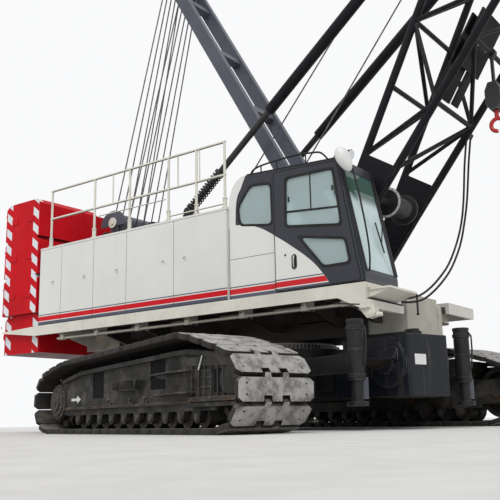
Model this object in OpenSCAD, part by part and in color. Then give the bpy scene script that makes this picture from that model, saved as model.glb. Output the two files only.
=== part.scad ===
// Crawler crane with a lattice boom and a live mast, in millimetres.
// X points along the boom, Y to the left, Z up. The origin is on the ground under the swing axis.
// The undercarriage is stored turned under the upper, as it stands.

/* [Tracks] */
// Angle of the undercarriage under the upper
swing_rest = -16; // [-45:1:45]
// Distance between the centre lines of the two tracks
track_gauge = 5100; // [4700:20:5400]
// Distance between the end wheels of a track
wheel_base = 5000; // [4700:20:5200]
// Radius of the shoes' inner face round an end wheel
end_r = 440; // [400:5:480]
// Width of a shoe
shoe_w = 1120; // [900:10:1200]
// Thickness of a shoe
shoe_t = 75; // [50:5:90]
// Shoes in one track
shoe_n = 32; // [30:1:34]
// Distance of the top run's peak ahead of the middle
peak_x = 1680; // [1400:10:1800]
// Height of the top run at its peak
peak_top = 1276; // [1200:2:1300]
// Distance of the top run's rear bend behind the middle
shoulder_x = 1870; // [1700:10:1950]
// Height of the top run at its rear bend
shoulder_top = 1147; // [1110:2:1180]
// Radius of the bends of the top run
bend_r = 250; // [200:10:300]
// Length of the hinge lugs of a shoe
lug_l = 60; // [40:2:80]
// Width of a hinge lug
lug_w = 98; // [80:2:120]
// Distance of a hinge lug from the middle of the shoe
lug_y = 133; // [110:1:180]

/* [Side frames] */
// Overall width of a side frame
frame_w = 620; // [560:10:700]
// Width of each of its two bottom rails
rail_w = 110; // [80:5:130]
// Height of the bottom rails' underside
rail_z = 290; // [270:5:310]
// Height of the frame's web over the rollers
web_z = 380; // [370:5:420]
// Height of the frame's rear top corner
frame_rear_top = 850; // [780:10:880]
// Height of the frame at its peak
frame_peak_top = 1053; // [980:10:1080]
// Height of the frame's front top corner
frame_front_top = 900; // [800:10:950]
// Radius of a bottom roller
roller_r = 140; // [120:2:150]
// Bottom rollers of one track
roller_n = 10; // [8:1:11]
// Distance between the first and the last bottom roller
roller_span = 3500; // [3200:20:3700]
// Radius of a roller's shaft
roller_shaft_r = 45; // [30:1:60]
// Radius of an end wheel's axle
axle_r = 75; // [60:1:90]

/* [Carbody] */
// Height of the carbody's top
carbody_top = 1200; // [1150:5:1240]
// Height of the carbody's underside
carbody_bot = 460; // [420:5:520]
// Radius of the round middle of the carbody
carbody_r = 1300; // [1200:10:1400]
// Distance of the cross beams from the middle
beam_x = 1150; // [1000:10:1300]
// Width of a cross beam
beam_w = 640; // [560:10:720]
// Height of a cross beam's top
beam_top = 1000; // [900:10:1040]
// Outer radius of the slewing ring
ring_r = 930; // [860:10:1000]
// Height of the lower race of the slewing ring
ring_h = 130; // [100:2:140]
// Teeth of the slewing ring
ring_teeth = 90; // [60:2:120]
// Front face of a carbody weight from the middle
weight_front = 3100; // [2900:10:3200]
// Length of a carbody weight
weight_l = 1250; // [1000:10:1350]
// Width of a carbody weight
weight_w = 1240; // [1100:10:1400]
// Underside of a carbody weight
weight_bot = 420; // [380:5:460]
// Top of a carbody weight
weight_top = 1255; // [1200:5:1270]
// Chamfer of a carbody weight's corners
weight_clip = 190; // [120:10:260]
// Distance of a carbody jack ahead of the middle
jack_x = 2800; // [2700:10:2900]
// Distance of a carbody jack beside the middle
jack_y = 1080; // [1000:10:1200]
// Radius of a carbody jack's barrel
jack_r = 112; // [90:2:125]
// Top of a carbody jack
jack_top = 1420; // [1300:10:1430]
// Foot of a carbody jack above the ground
jack_bot = 310; // [250:10:400]

/* [Revolving frame] */
// Half width of the upper
half_w = 1840; // [1760:10:1900]
// Running gap of the slewing ring
ring_gap = 0.3; // [0.2:0.1:0.6]
// Front end of the centre frame
frame_front = 2570; // [2400:10:2650]
// Rear end of the centre frame
frame_rear = 4209.7; // [4100:0.1:4240]
// Height of the centre frame's top
centre_top = 1950; // [1900:10:1980]
// Where the rear of the centre frame rises clear of the jacks
frame_step_x = 2500; // [2400:10:2550]
// Underside of the raised rear of the centre frame
frame_step_z = 1500; // [1480:5:1540]
// Inner face of a main girder from the middle
girder_in = 460; // [440:5:465]
// Thickness of a main girder
girder_t = 140; // [110:5:145]

/* [Deck] */
// Underside of the deck's side beam
sill_bot = 1730; // [1710:2:1750]
// Top of the deck's side beam
sill_top = 1904; // [1890:2:1920]
// Rear end of the deck's side beam
sill_rear = 5205; // [5100:5:5260]
// Front end of the deck
deck_front = 2600; // [2500:10:2700]
// Underside of the deck's front box
nose_bot = 1560; // [1520:10:1640]
// Thickness of the deck's plates
deck_t = 60; // [40:5:90]
// Inner face of the deck from the middle
deck_in = 830; // [820:5:840]

/* [Houses] */
// Rear wall of a house
house_rear = 4129; // [4050:1:4180]
// Front wall of a house
house_front = 292; // [250:1:320]
// Roof of a house
house_top = 3330; // [3250:5:3380]
// Inner face of a house from the middle
house_in = 870; // [860:5:900]
// Thickness of a house's walls
wall_t = 50; // [35:5:70]
// Thickness of a house door
door_t = 40; // [30:2:50]
// Gap between two house doors
door_gap = 14; // [12:1:18]
// Gap between a closed door and its seal
seal_gap = 0.3; // [0.2:0.1:0.6]
// Radius of a guard rail's tubes
rail_r = 21; // [16:1:26]
// Height of the guard rail above the roof
guard_h = 1074; // [1000:2:1100]

/* [Cab] */
// Rear wall of the cab
cab_rear = 300; // [296:1:340]
// Front of the cab at its floor
cab_front = 2589; // [2500:1:2595]
// Front of the cab at its roof
cab_roof_front = 2261; // [2200:1:2350]
// Height of the cab roof's front edge
cab_roof_z = 3690; // [3600:5:3750]
// Height of the cab roof's rear edge
cab_roof_rear_z = 3775; // [3700:5:3820]
// Thickness of the cab's walls
cab_t = 48; // [35:1:60]
// Thickness of the cab's glass
glass_t = 10; // [6:1:14]
// Thickness of the sliding door
slide_t = 42; // [35:1:50]
// Running gap of the sliding door
slide_gap = 6; // [5:0.5:8]

/* [Counterweight] */
// Front face of the counterweight slabs
slab_front = 4210; // [4180:5:4240]
// Rear face of the counterweight slabs
slab_rear = 5230; // [5150:5:5290]
// Underside of the lowest slab
slab_bot = 1440; // [1400:5:1480]
// Height of one slab
slab_h = 725; // [680:5:760]
// Gap between two slabs
slab_gap = 0.5; // [0.3:0.1:1]
// Chamfer round a slab's top
slab_clip = 90; // [60:5:120]

/* [Boom] */
// Boom foot pin ahead of the swing axis
boom_x = 1100; // [1050:5:1150]
// Height of the boom foot pin
boom_z = 1985; // [1970:5:2030]
// Stored angle of the boom
boom_angle = 57.5; // [40:0.5:70]
// Length of the base section
base_l = 7620; // [7000:10:8000]
// Length of the top section
top_l = 7620; // [7000:10:8000]
// Where the base section reaches its full depth
taper_l = 6100; // [5600:10:6500]
// Depth between chord centres
boom_depth = 1400; // [1200:10:1500]
// Half width between chord centres
boom_half_w = 670; // [640:5:680]
// Radius of the chords
chord_r = 60; // [45:1:65]
// Radius of the lacing
lace_r = 34; // [25:1:40]
// Radius of the boom foot pins
foot_pin_r = 55; // [45:1:65]
// Thickness of a boom foot
foot_t = 110; // [90:2:116]
// Depth of the boom's tip between chord centres
tip_depth = 620; // [500:10:700]

/* [Mast] */
// Mast foot pin ahead of the swing axis
mast_x = 1560; // [1520:5:1600]
// Height of the mast foot pin
mast_z = 2150; // [2120:5:2200]
// Stored angle of the mast from the front
mast_angle = 119.6; // [110:0.2:125]
// Length of the mast from foot pin to head axle
mast_l = 7740; // [7400:10:8000]
// Half distance between the mast's legs
mast_half_w = 390; // [380:5:400]
// Depth of a mast leg
leg_depth = 240; // [200:5:280]
// Thickness of a mast leg
leg_t = 120; // [90:5:130]
// Radius of the mast's sheaves
sheave_r = 240; // [200:5:280]
// Radius of the pendants
pendant_r = 22; // [16:1:30]

/* [Backstops] */
// Seat of the backstop behind the swing axis
stop_x = 1440; // [1400:5:1480]
// Height of the backstop's seat
stop_z = 3780; // [3700:5:3820]
// Stored angle of the backstop
stop_angle = 38.2; // [37:0.1:40]
// Length of the backstop from seat to eye
stop_l = 6800; // [6500:5:7000]
// Distance of the backstops from the middle
stop_y = 758; // [750:1:765]
// Radius of a backstop's tube
stop_tube_r = 92; // [80:1:96]
// Radius of a backstop's rod
stop_rod_r = 56; // [45:1:65]

/* [Winches] */
// Radius of a winch's flanges
flange_r = 430; // [380:5:460]
// Radius of a winch's drum
drum_r = 280; // [240:5:320]
// Height of the winches' axles
winch_z = 2520; // [2450:5:2600]
// Front winch behind the swing axis
winch_front_x = 900; // [860:5:940]
// Rear winch behind the swing axis
winch_rear_x = 2330; // [2200:5:2400]
// Boom winch behind the swing axis
winch_boom_x = 3420; // [3380:5:3460]
// Half width of a winch between its flanges
drum_half_w = 430; // [380:5:440]

/* [Hidden] */
$fn = 48;
eps = 0.01;
run_fit = 0.1;
seat = 0.3;
clear = 6;

// Two-dimensional run of the shoes' inner face: circles as [x, z, radius], anticlockwise
belt = [
    [-wheel_base / 2, shoe_t + end_r, end_r],
    [wheel_base / 2, shoe_t + end_r, end_r],
    [peak_x, peak_top - shoe_t - bend_r, bend_r],
    [-shoulder_x, shoulder_top - shoe_t - bend_r, bend_r],
];
belt_n = len(belt);
function belt_circle(i) = belt[i % belt_n];
// Direction of the straight from one circle to the next
function run_dir(a, b) = atan2(b[1] - a[1], b[0] - a[0])
    + asin((a[2] - b[2]) / norm([b[0] - a[0], b[1] - a[1]]));
function rim(c, dir) = [c[0] + c[2] * sin(dir), c[1] - c[2] * cos(dir)];
run_dirs = [for (i = [0:belt_n - 1]) run_dir(belt_circle(i), belt_circle(i + 1))];
run_lens = [for (i = [0:belt_n - 1])
    norm(rim(belt_circle(i + 1), run_dirs[i]) - rim(belt_circle(i), run_dirs[i]))];
function wrap(a) = a < 0 ? wrap(a + 360) : a >= 360 ? wrap(a - 360) : a;
turns = [for (i = [0:belt_n - 1]) wrap(run_dirs[(i + 1) % belt_n] - run_dirs[i])];
arc_lens = [for (i = [0:belt_n - 1]) belt_circle(i + 1)[2] * turns[i] * PI / 180];
function total(v, i = 0) = i < len(v) ? v[i] + total(v, i + 1) : 0;
belt_len = total(run_lens) + total(arc_lens);
shoe_pitch = belt_len / shoe_n;
// Point of the run at distance s from its start
function along(s, i = 0) =
    s <= run_lens[i] ? rim(belt_circle(i), run_dirs[i]) + s * [cos(run_dirs[i]), sin(run_dirs[i])]
    : s - run_lens[i] <= arc_lens[i]
        ? rim(belt_circle(i + 1), run_dirs[i] + turns[i] * (s - run_lens[i]) / arc_lens[i])
    : along(s - run_lens[i] - arc_lens[i], i + 1);
shoe_gap = 0.8;
shoe_clip = 70;
lug_clear = 8;
// The end wheels fit inside the flats that the shoes make round them
wheel_r = end_r * cos(shoe_pitch / 2 / end_r * 180 / PI) - seat;
track_y = track_gauge / 2;

axle_z = shoe_t + end_r;
roller_z = shoe_t + roller_r + seat;
roller_w = frame_w - 2 * rail_w - 2 * seat;
rail_rear = 2200;
rail_front = 2200;
fork_top = 720;
fork_bot = 345;

ring_bot = carbody_top;
ring_top = carbody_top + ring_h;
race_h = 20;
centre_bot = ring_top + ring_gap + race_h;
girder_out = girder_in + girder_t;
sill_t = 60;
arm_x = [-3700, -2800, -1800, -700, 400, 1500, 2150];
arm_t = 50;
arm_bot = 1500;
arm_top = 1640;

door_edges = [-house_rear, -3524, -2674, -1862, -793, house_front];
left_edges = [-house_rear, -3524, -2400, -1100, house_front];
rebate_bot = sill_top + 8;
door_bot = rebate_bot + clear;
door_top = house_top - 40;
// Hinge pins of the house doors, in from the door's edge and face
pivot_in = 12;
hinge_pin_r = 8;
hinge_pin_l = 25;
// The house's face behind the doors lies deeper, and seals stand on it round the openings
face_back = 8;
rail = 70;
seal_w = 25;
latch_in = 230;
latch_z = 2645;

slab_half_w = half_w - 10;
slab_n = 4;

// Boom pieces are made lying along X from the foot pin, then raised
module raise(x, z, angle) { translate([x, 0, z]) rotate([0, -angle, 0]) children(); }
module boom_place() { raise(boom_x, boom_z, boom_angle) children(); }
module mast_place() { raise(mast_x, mast_z, mast_angle) children(); }
module lower() { rotate([0, 0, swing_rest]) children(); }
module both_sides() { children(); mirror([0, 1, 0]) children(); }
module both_ends() { children(); mirror([1, 0, 0]) children(); }
// A profile drawn in X and Z, as wide as w about y
module side_plate(y, w) { translate([0, y + w / 2, 0]) rotate([90, 0, 0]) linear_extrude(w) children(); }
module cross_rod(x, z, r, y0, y1) { translate([x, y0, z]) rotate([-90, 0, 0]) cylinder(h = y1 - y0, r = r); }
module box(lo, hi) { translate(lo) cube(hi - lo); }
// Round or many-sided bar from p to q
module strut(p, q, r, sides = 8) {
    v = q - p;
    translate(p) rotate([0, acos(v[2] / norm(v)), atan2(v[1], v[0])]) cylinder(h = norm(v), r = r, $fn = sides);
}

boom_l = base_l + top_l;
// Half depth of the boom at distance s from the foot pin
foot_half_depth = 55;
function half_depth(s) = s < taper_l
    ? foot_half_depth + (boom_depth / 2 - foot_half_depth) * s / taper_l
    : s < boom_l - taper_l + 600 ? boom_depth / 2
    : boom_depth / 2 - (boom_depth - tip_depth) / 2 * (s - boom_l + taper_l - 600) / (taper_l - 600);

// One shoe, flat, from its rear hinge at x = 0 to its front hinge at x = l
module shoe(l) {
    rear = shoe_gap / 2;
    front = l - shoe_gap / 2;
    half = shoe_w / 2;
    notch = lug_l + lug_clear;
    lug = lug_w / 2;
    slot = lug + lug_clear;
    translate([0, 0, -shoe_t]) linear_extrude(shoe_t) polygon([
        [rear, -half + shoe_clip], [rear + shoe_clip / 2, -half],
        [front - shoe_clip / 2, -half], [front, -half + shoe_clip],
        [front, -lug_y - lug], [front + lug_l, -lug_y - lug], [front + lug_l, -lug_y + lug], [front, -lug_y + lug],
        [front, lug_y - lug], [front + lug_l, lug_y - lug], [front + lug_l, lug_y + lug], [front, lug_y + lug],
        [front, half - shoe_clip], [front - shoe_clip / 2, half],
        [rear + shoe_clip / 2, half], [rear, half - shoe_clip],
        [rear, lug_y + slot], [notch, lug_y + slot], [notch, lug_y - slot], [rear, lug_y - slot],
        [rear, -lug_y + slot], [notch, -lug_y + slot], [notch, -lug_y - slot], [rear, -lug_y - slot],
    ]);
}

module track(y) {
    color("dimgray") lower() translate([0, y, 0]) for (i = [0:shoe_n - 1]) {
        a = along(i * shoe_pitch);
        b = along((i + 1) % shoe_n * shoe_pitch);
        translate([a[0], 0, a[1]]) rotate([0, -atan2(b[1] - a[1], b[0] - a[0]), 0]) shoe(norm(b - a));
    }
}

// Side frame: a humped box girder on two rails, with a fork for the idler and a hub for the drive
module side_frame(y) {
    rail_in = frame_w / 2 - rail_w;
    out = y > 0 ? 1 : -1;
    hub_r = 300;
    color([0.2, 0.2, 0.2]) lower() translate([0, y, 0]) {
        difference() {
            union() {
                side_plate(0, frame_w) polygon([
                    [-rail_rear + 80, web_z], [-rail_rear, web_z + 150], [-rail_rear, frame_rear_top - 60],
                    [-rail_rear + 60, frame_rear_top], [peak_x - 300, frame_peak_top], [peak_x + 100, frame_peak_top],
                    [rail_front - 300, frame_front_top], [rail_front - 300, web_z],
                ]);
                for (s = [-1, 1]) side_plate(s * (frame_w - rail_w) / 2, rail_w) polygon([
                    [-rail_rear, rail_z], [rail_front, rail_z], [rail_front, web_z + 40],
                    [-rail_rear + 80, web_z + 40], [-rail_rear, web_z],
                ]);
                // Idler fork
                for (s = [-1, 1]) side_plate(s * (frame_w - rail_w) / 2, rail_w) polygon([
                    [rail_front - 400, fork_bot], [wheel_base / 2 + 260, fork_bot],
                    [wheel_base / 2 + 300, fork_bot + 60], [wheel_base / 2 + 300, fork_top - 60],
                    [wheel_base / 2 + 260, fork_top], [rail_front - 400, fork_top],
                ]);
                // Drive hub plates
                for (s = [-1, 1]) {
                    cross_rod(-wheel_base / 2, axle_z, hub_r, s > 0 ? rail_in : -frame_w / 2, s > 0 ? frame_w / 2 : -rail_in);
                    side_plate(s * (frame_w - rail_w) / 2, rail_w) polygon([
                        [-wheel_base / 2, axle_z - hub_r + 20], [-rail_rear + 200, web_z],
                        [-rail_rear + 200, frame_rear_top - 40], [-wheel_base / 2, axle_z + hub_r - 20],
                    ]);
                }
                // Roller carriers
                for (i = [0:roller_n - 1], s = [-1, 1]) {
                    x = roller_span * (i / (roller_n - 1) - 0.5);
                    side_plate(s * (frame_w / 2 - 35), 70) polygon([
                        [x - 95, rail_z + 20], [x - 60, roller_z - 40], [x - 35, roller_z - 75],
                        [x + 35, roller_z - 75], [x + 60, roller_z - 40], [x + 95, rail_z + 20],
                    ]);
                }
            }
            // Sunk panels in the outer face
            for (p = [[-1950, -1350], [-1180, -480], [-300, 560], [740, 1420]])
                side_plate(out * (frame_w / 2), 120) polygon([
                    [p[0], web_z + 110], [p[1], web_z + 110],
                    [p[1], frame_rear_top - 130], [p[0], frame_rear_top - 130],
                ]);
            // Pocket of the drive wheel
            box([-wheel_base / 2 - end_r, -rail_in, 0], [-wheel_base / 2 + end_r, rail_in, peak_top]);
            // Bores of the idler's and the drive wheel's axles
            cross_rod(wheel_base / 2, axle_z, axle_r + run_fit, -frame_w, frame_w);
            cross_rod(-wheel_base / 2, axle_z, axle_r + run_fit, -frame_w, frame_w);
            for (i = [0:roller_n - 1])
                cross_rod(roller_span * (i / (roller_n - 1) - 0.5), roller_z, roller_shaft_r + run_fit, -frame_w, frame_w);
        }
    }
}

module idler_wheel() {
    width = frame_w - 2 * rail_w - 20;
    difference() {
        cross_rod(0, 0, wheel_r, -width / 2, width / 2);
        for (s = [-1, 1]) difference() {
            cross_rod(0, 0, wheel_r - 70, s > 0 ? 60 : -width, s > 0 ? width : -60);
            cross_rod(0, 0, axle_r + 70, -width, width);
        }
    }
    cross_rod(0, 0, axle_r, -frame_w / 2 - 20, frame_w / 2 + 20);
}

module idlers() {
    color("dimgray") lower() for (s = [-1, 1]) translate([wheel_base / 2, s * track_y, axle_z]) idler_wheel();
}

module drive_wheels() {
    width = frame_w - 2 * rail_w - 20;
    color("dimgray") lower() for (s = [-1, 1]) translate([-wheel_base / 2, s * track_y, axle_z]) {
        difference() {
            cross_rod(0, 0, wheel_r, -width / 2, width / 2);
            for (a = [22.5:45:359]) rotate([0, a, 0]) cross_rod(wheel_r, 0, 70, -width, width);
        }
        cross_rod(0, 0, axle_r, -frame_w / 2 - 60, frame_w / 2 + 60);
    }
}

module bottom_rollers() {
    color("dimgray") lower() for (s = [-1, 1], i = [0:roller_n - 1])
        translate([roller_span * (i / (roller_n - 1) - 0.5), s * track_y, roller_z]) {
            cross_rod(0, 0, roller_r, -roller_w / 2, -roller_w / 2 + 130);
            cross_rod(0, 0, roller_r, roller_w / 2 - 130, roller_w / 2);
            cross_rod(0, 0, roller_r - 30, -roller_w / 2, roller_w / 2);
            cross_rod(0, 0, roller_shaft_r, -frame_w / 2 - 15, frame_w / 2 + 15);
        }
}

module carbody() {
    beam_end = track_y - frame_w / 2;
    color([0.1, 0.1, 0.11]) lower() {
        difference() {
            union() {
                translate([0, 0, carbody_bot]) cylinder(h = carbody_top - carbody_bot, r = carbody_r);
                both_ends() box([beam_x - beam_w / 2, -beam_end, carbody_bot], [beam_x + beam_w / 2, beam_end, beam_top]);
                // Seats of the carbody weights
                both_ends() box([beam_x, -weight_w / 2, carbody_bot + 90], [weight_front - weight_l - seat, weight_w / 2, beam_top]);
                // Arms of the carbody jacks
                both_ends() both_sides() box(
                    [beam_x, jack_y - 110, beam_top - 260], [jack_x - jack_r + 30, jack_y + 70, beam_top - 20]);
            }
            translate([0, 0, carbody_bot - 10]) cylinder(h = carbody_top, r = 420);
            both_ends() both_sides() translate([jack_x, jack_y, 0]) cylinder(h = 2000, r = jack_r + seat);
        }
    }
}

module slewing_ring() {
    tooth = 360 / ring_teeth;
    color([0.25, 0.25, 0.26]) lower() translate([0, 0, ring_bot]) difference() {
        union() {
            cylinder(h = ring_h, r = ring_r - 60);
            translate([0, 0, 20]) linear_extrude(ring_h - 50) polygon([
                for (i = [0:ring_teeth - 1], p = [[-0.34, -45], [-0.16, 0], [0.16, 0], [0.34, -45]])
                    (ring_r + p[1]) * [cos((i + p[0]) * tooth), sin((i + p[0]) * tooth)],
            ]);
        }
        translate([0, 0, -10]) cylinder(h = ring_h + 20, r = ring_r - 220);
    }
}

module carbody_weights() {
    front = weight_front;
    rear = weight_front - weight_l;
    half = weight_w / 2;
    c = weight_clip;
    color([0.12, 0.13, 0.16]) lower() both_ends() difference() {
        union() {
            translate([0, 0, weight_bot]) linear_extrude(weight_top - weight_bot) polygon([
                [rear, -half], [front - c, -half], [front, -half + c],
                [front, half - c], [front - c, half], [rear, half],
            ]);
            // Filler cap
            translate([front - 300, half - 330, weight_top]) cylinder(h = 62, r = 60);
            translate([front - 300, half - 330, weight_top]) cylinder(h = 40, r = 85);
        }
        // Round lifting pockets in the sides
        for (s = [-1, 1]) translate([front - weight_l * 0.6, s * half, (weight_bot + weight_top) / 2])
            rotate([90, 0, 0]) cylinder(h = 160, r = 220, center = true);
    }
}

module carbody_jacks() {
    foot_h = 60;
    color([0.1, 0.1, 0.12]) lower() both_ends() both_sides() translate([jack_x, jack_y, 0]) {
        translate([0, 0, 640]) cylinder(h = jack_top - 640, r = jack_r);
        translate([0, 0, jack_top - 130]) cylinder(h = 40, r = jack_r + 14);
        translate([0, 0, jack_bot]) cylinder(h = 640 - jack_bot, r = jack_r - 35);
        translate([0, 0, jack_bot]) cylinder(h = foot_h, r = jack_r + 30);
    }
}

foot_in = boom_half_w - foot_t / 2;
foot_out = boom_half_w + foot_t / 2;
ear_t = 55;
ear_gap = 5;
mast_in = mast_half_w - leg_t / 2;
mast_out = mast_half_w + leg_t / 2;

module ear(x, z, r, y0, y1, base) {
    side_plate((y0 + y1) / 2, y1 - y0) {
        translate([x, z]) circle(r = r);
        polygon([[x - r * 2.2, base], [x + r * 2.2, base], [x + r * 0.86, z + r * 0.5], [x - r * 0.86, z + r * 0.5]]);
    }
}

module centre_frame() {
    color([0.86, 0.86, 0.82]) {
        // Race on the slewing ring
        translate([0, 0, ring_top + ring_gap]) difference() {
            cylinder(h = race_h + 40, r = ring_r - 70);
            translate([0, 0, -10]) cylinder(h = race_h + 60, r = ring_r - 230);
        }
        both_sides() side_plate((girder_in + girder_out) / 2, girder_t) polygon([
            [-frame_rear, frame_step_z], [-frame_step_x, frame_step_z], [-frame_step_x + 200, centre_bot],
            [frame_front, centre_bot], [frame_front, centre_top - 150], [frame_front - 150, centre_top],
            [-frame_rear, centre_top],
        ]);
        // Bottom plate and cross members
        box([-frame_step_x + 200, -girder_in - eps, centre_bot], [frame_front, girder_in + eps, centre_bot + 40]);
        for (x = [frame_front - 40, 700, -700, -1700, -2650, -frame_rear + 40])
            box([x - 30, -girder_in - eps, max(centre_bot, x < -frame_step_x + 200 ? frame_step_z : centre_bot)],
                [x + 30, girder_in + eps, centre_top - 40]);
        // Ears of the boom and the mast, with their pins
        both_sides() {
            ear(boom_x, boom_z, 130, foot_in - ear_gap - ear_t, foot_in - ear_gap, 1650);
            ear(boom_x, boom_z, 130, foot_out + ear_gap, foot_out + ear_gap + ear_t, 1650);
            cross_rod(boom_x, boom_z, foot_pin_r, foot_in - ear_gap - ear_t, foot_out + ear_gap + ear_t);
            // Floor that carries the outer ears
            box([boom_x - 290, girder_in, 1600], [boom_x + 290, foot_out + ear_gap + ear_t, 1700]);
            ear(mast_x, mast_z, 110, mast_in - ear_gap - ear_t, mast_in - ear_gap, 1650);
            ear(mast_x, mast_z, 110, mast_out + ear_gap, mast_out + ear_gap + ear_t, 1650);
            cross_rod(mast_x, mast_z, foot_pin_r, mast_in - ear_gap - ear_t, mast_out + ear_gap + ear_t);
            box([mast_x - 250, mast_in - ear_gap - ear_t, 1600], [mast_x + 250, girder_in + 10, 1700]);
            // Post of the backstop seat
            side_plate(girder_out - 25, 40) polygon([
                [-stop_x - 260, 1900], [-stop_x + 260, 1900], [-stop_x + 110, stop_z - 60],
                [-stop_x + 60, stop_z + 70], [-stop_x - 60, stop_z + 70], [-stop_x - 110, stop_z - 60],
            ]);
            cross_rod(-stop_x, stop_z, 40, girder_out - 10, stop_y - stop_eye_w / 2 - clear - 2);
        }
        // Winch bearings
        both_sides() for (x = [winch_front_x, winch_rear_x, winch_boom_x])
            side_plate(drum_half_w + 75, 50) polygon([
                [-x - 330, centre_top - 40], [-x + 330, centre_top - 40], [-x + 130, winch_z + 90],
                [-x + 60, winch_z + 140], [-x - 60, winch_z + 140], [-x - 130, winch_z + 90],
            ]);
    }
}

// Deck of one side: floor plate, side beam with a tapered tail, and the box at the nose
module deck(nose) {
    color([0.86, 0.85, 0.80]) {
        side_plate(half_w - sill_t / 2, sill_t) polygon([
            [-sill_rear, sill_top - 60], [-sill_rear, sill_top - 40], [-house_rear - 60, sill_top],
            [deck_front, sill_top], [deck_front, nose ? nose_bot : sill_bot],
            [deck_front - 80, nose ? nose_bot : sill_bot], [deck_front - 430, sill_bot],
            [-house_rear - 100, sill_bot],
        ]);
        box([-house_rear, deck_in, sill_top - deck_t], [deck_front, half_w - sill_t + eps, sill_top]);
        box([deck_front - deck_t, deck_in, nose ? nose_bot : sill_bot], [deck_front, half_w - sill_t + eps, sill_top - deck_t + eps]);
        // Cantilevers from the centre frame, low at their roots to clear the lowered boom
        for (x = arm_x)
            translate([x - arm_t / 2, 0, 0]) rotate([0, 0, 90]) rotate([90, 0, 0]) linear_extrude(arm_t) polygon([
                [girder_out + seat, arm_bot], [deck_in, arm_bot], [half_w - sill_t + eps, sill_bot + 20],
                [half_w - sill_t + eps, sill_top - deck_t + eps], [deck_in, sill_top - deck_t + eps],
                [deck_in, arm_top], [girder_out + seat, arm_top],
            ]);
        // Long tube slung under the side beam
        translate([arm_x[0] - 150, half_w - 240, sill_bot - 62]) rotate([0, 90, 0])
            cylinder(h = arm_x[6] - arm_x[0] + 250, r = 26);
        for (i = [0, 2, 4, 6])
            box([arm_x[i] - arm_t / 2, half_w - 262, sill_bot - 62], [arm_x[i] + arm_t / 2, half_w - 218, sill_bot + 80]);
        if (nose) {
            // Step ledge ahead of the cab
            box([deck_front, half_w - 840, sill_top - 105], [deck_front + 330, half_w - 60, sill_top - 80]);
        }
    }
}

// X of a house door's hinge pin; the last door of a row is hung at its front edge
function hinge_x(edges, i) = i < len(edges) - 2
    ? edges[i] + door_gap / 2 + pivot_in
    : edges[i + 1] - door_gap / 2 - pivot_in;

module house(edges) {
    out = half_w - door_t - seal_gap;
    color([0.88, 0.88, 0.85]) {
        difference() {
            box([-house_rear, house_in, sill_top], [house_front, half_w, house_top]);
            box([-house_rear + wall_t, house_in + wall_t, sill_top - 10],
                [house_front - wall_t, out - face_back - 32, house_top - wall_t]);
            // The doors lie in a rebate, and open into the machinery space
            box([-house_rear - 1, out - face_back, rebate_bot], [house_front + 1, half_w + 1, door_top + clear]);
            for (i = [0:len(edges) - 2])
                box([edges[i] + rail, out - 90, sill_top + rail], [edges[i + 1] - rail, out + 1, door_top - rail]);
            // Air outlet in the rear wall
            for (k = [0:5])
                box([-house_rear - 1, house_in + 150, 2300 + k * 120], [-house_rear + wall_t + 1, out - 150, 2350 + k * 120]);
        }
        for (i = [0:len(edges) - 2]) {
            // Seal round the opening
            side_plate(out - face_back / 2, face_back) difference() {
                translate([edges[i] + rail - seal_w, sill_top + rail - seal_w])
                    square([edges[i + 1] - edges[i] - 2 * (rail - seal_w), door_top - sill_top - 2 * (rail - seal_w)]);
                translate([edges[i] + rail, sill_top + rail])
                    square([edges[i + 1] - edges[i] - 2 * rail, door_top - sill_top - 2 * rail]);
            }
            // Hinge pins in the bottom flange and the eave
            translate([hinge_x(edges, i), half_w - pivot_in, rebate_bot - 4])
                cylinder(h = clear + hinge_pin_l + 4, r = hinge_pin_r);
            translate([hinge_x(edges, i), half_w - pivot_in, door_top - hinge_pin_l])
                cylinder(h = clear + hinge_pin_l + 4, r = hinge_pin_r);
        }
    }
}

module house_door(edges, i) {
    latch_x = i < len(edges) - 2 ? edges[i + 1] - latch_in : edges[i] + latch_in;
    color([0.9, 0.9, 0.87]) difference() {
        box([edges[i] + door_gap / 2, half_w - door_t, door_bot], [edges[i + 1] - door_gap / 2, half_w, door_top]);
        // Round recess of the latch
        translate([latch_x, half_w + 1, latch_z]) rotate([90, 0, 0]) cylinder(h = 13, r = 38);
        // Bores of the hinge pins
        for (z = [door_bot - 1, door_top - hinge_pin_l - 1])
            translate([hinge_x(edges, i), half_w - pivot_in, z]) cylinder(h = hinge_pin_l + 2, r = hinge_pin_r + run_fit);
    }
    // Latch in its recess
    color([0.2, 0.2, 0.2]) translate([latch_x, half_w - 2, latch_z]) rotate([90, 0, 0]) cylinder(h = 11, r = 17);
}

module right() { mirror([0, 1, 0]) children(); }

engine_l = 1800;
engine_h = 1050;
module engine() {
    color([0.3, 0.3, 0.32]) box([-house_rear + 830, house_in + wall_t + 80, sill_top],
        [-house_rear + 830 + engine_l, half_w - 260, sill_top + engine_h]);
}

module guard_rail(posts, y) {
    top = house_top + guard_h;
    mid = house_top + guard_h / 2;
    for (x = posts) translate([x, y, house_top]) {
        cylinder(h = guard_h, r = rail_r);
        cylinder(h = 160, r = rail_r + 12);
    }
    for (z = [top, mid]) translate([posts[0] - rail_r, y, z]) rotate([0, 90, 0])
        cylinder(h = posts[len(posts) - 1] - posts[0] + 2 * rail_r, r = rail_r);
}

module guard_rails() {
    color([0.85, 0.84, 0.78]) both_sides() guard_rail([
        for (p = [229, 1399, 2279, 3179, 3779]) p - house_rear,
        house_front - 62,
    ], half_w - 50);
}

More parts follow.
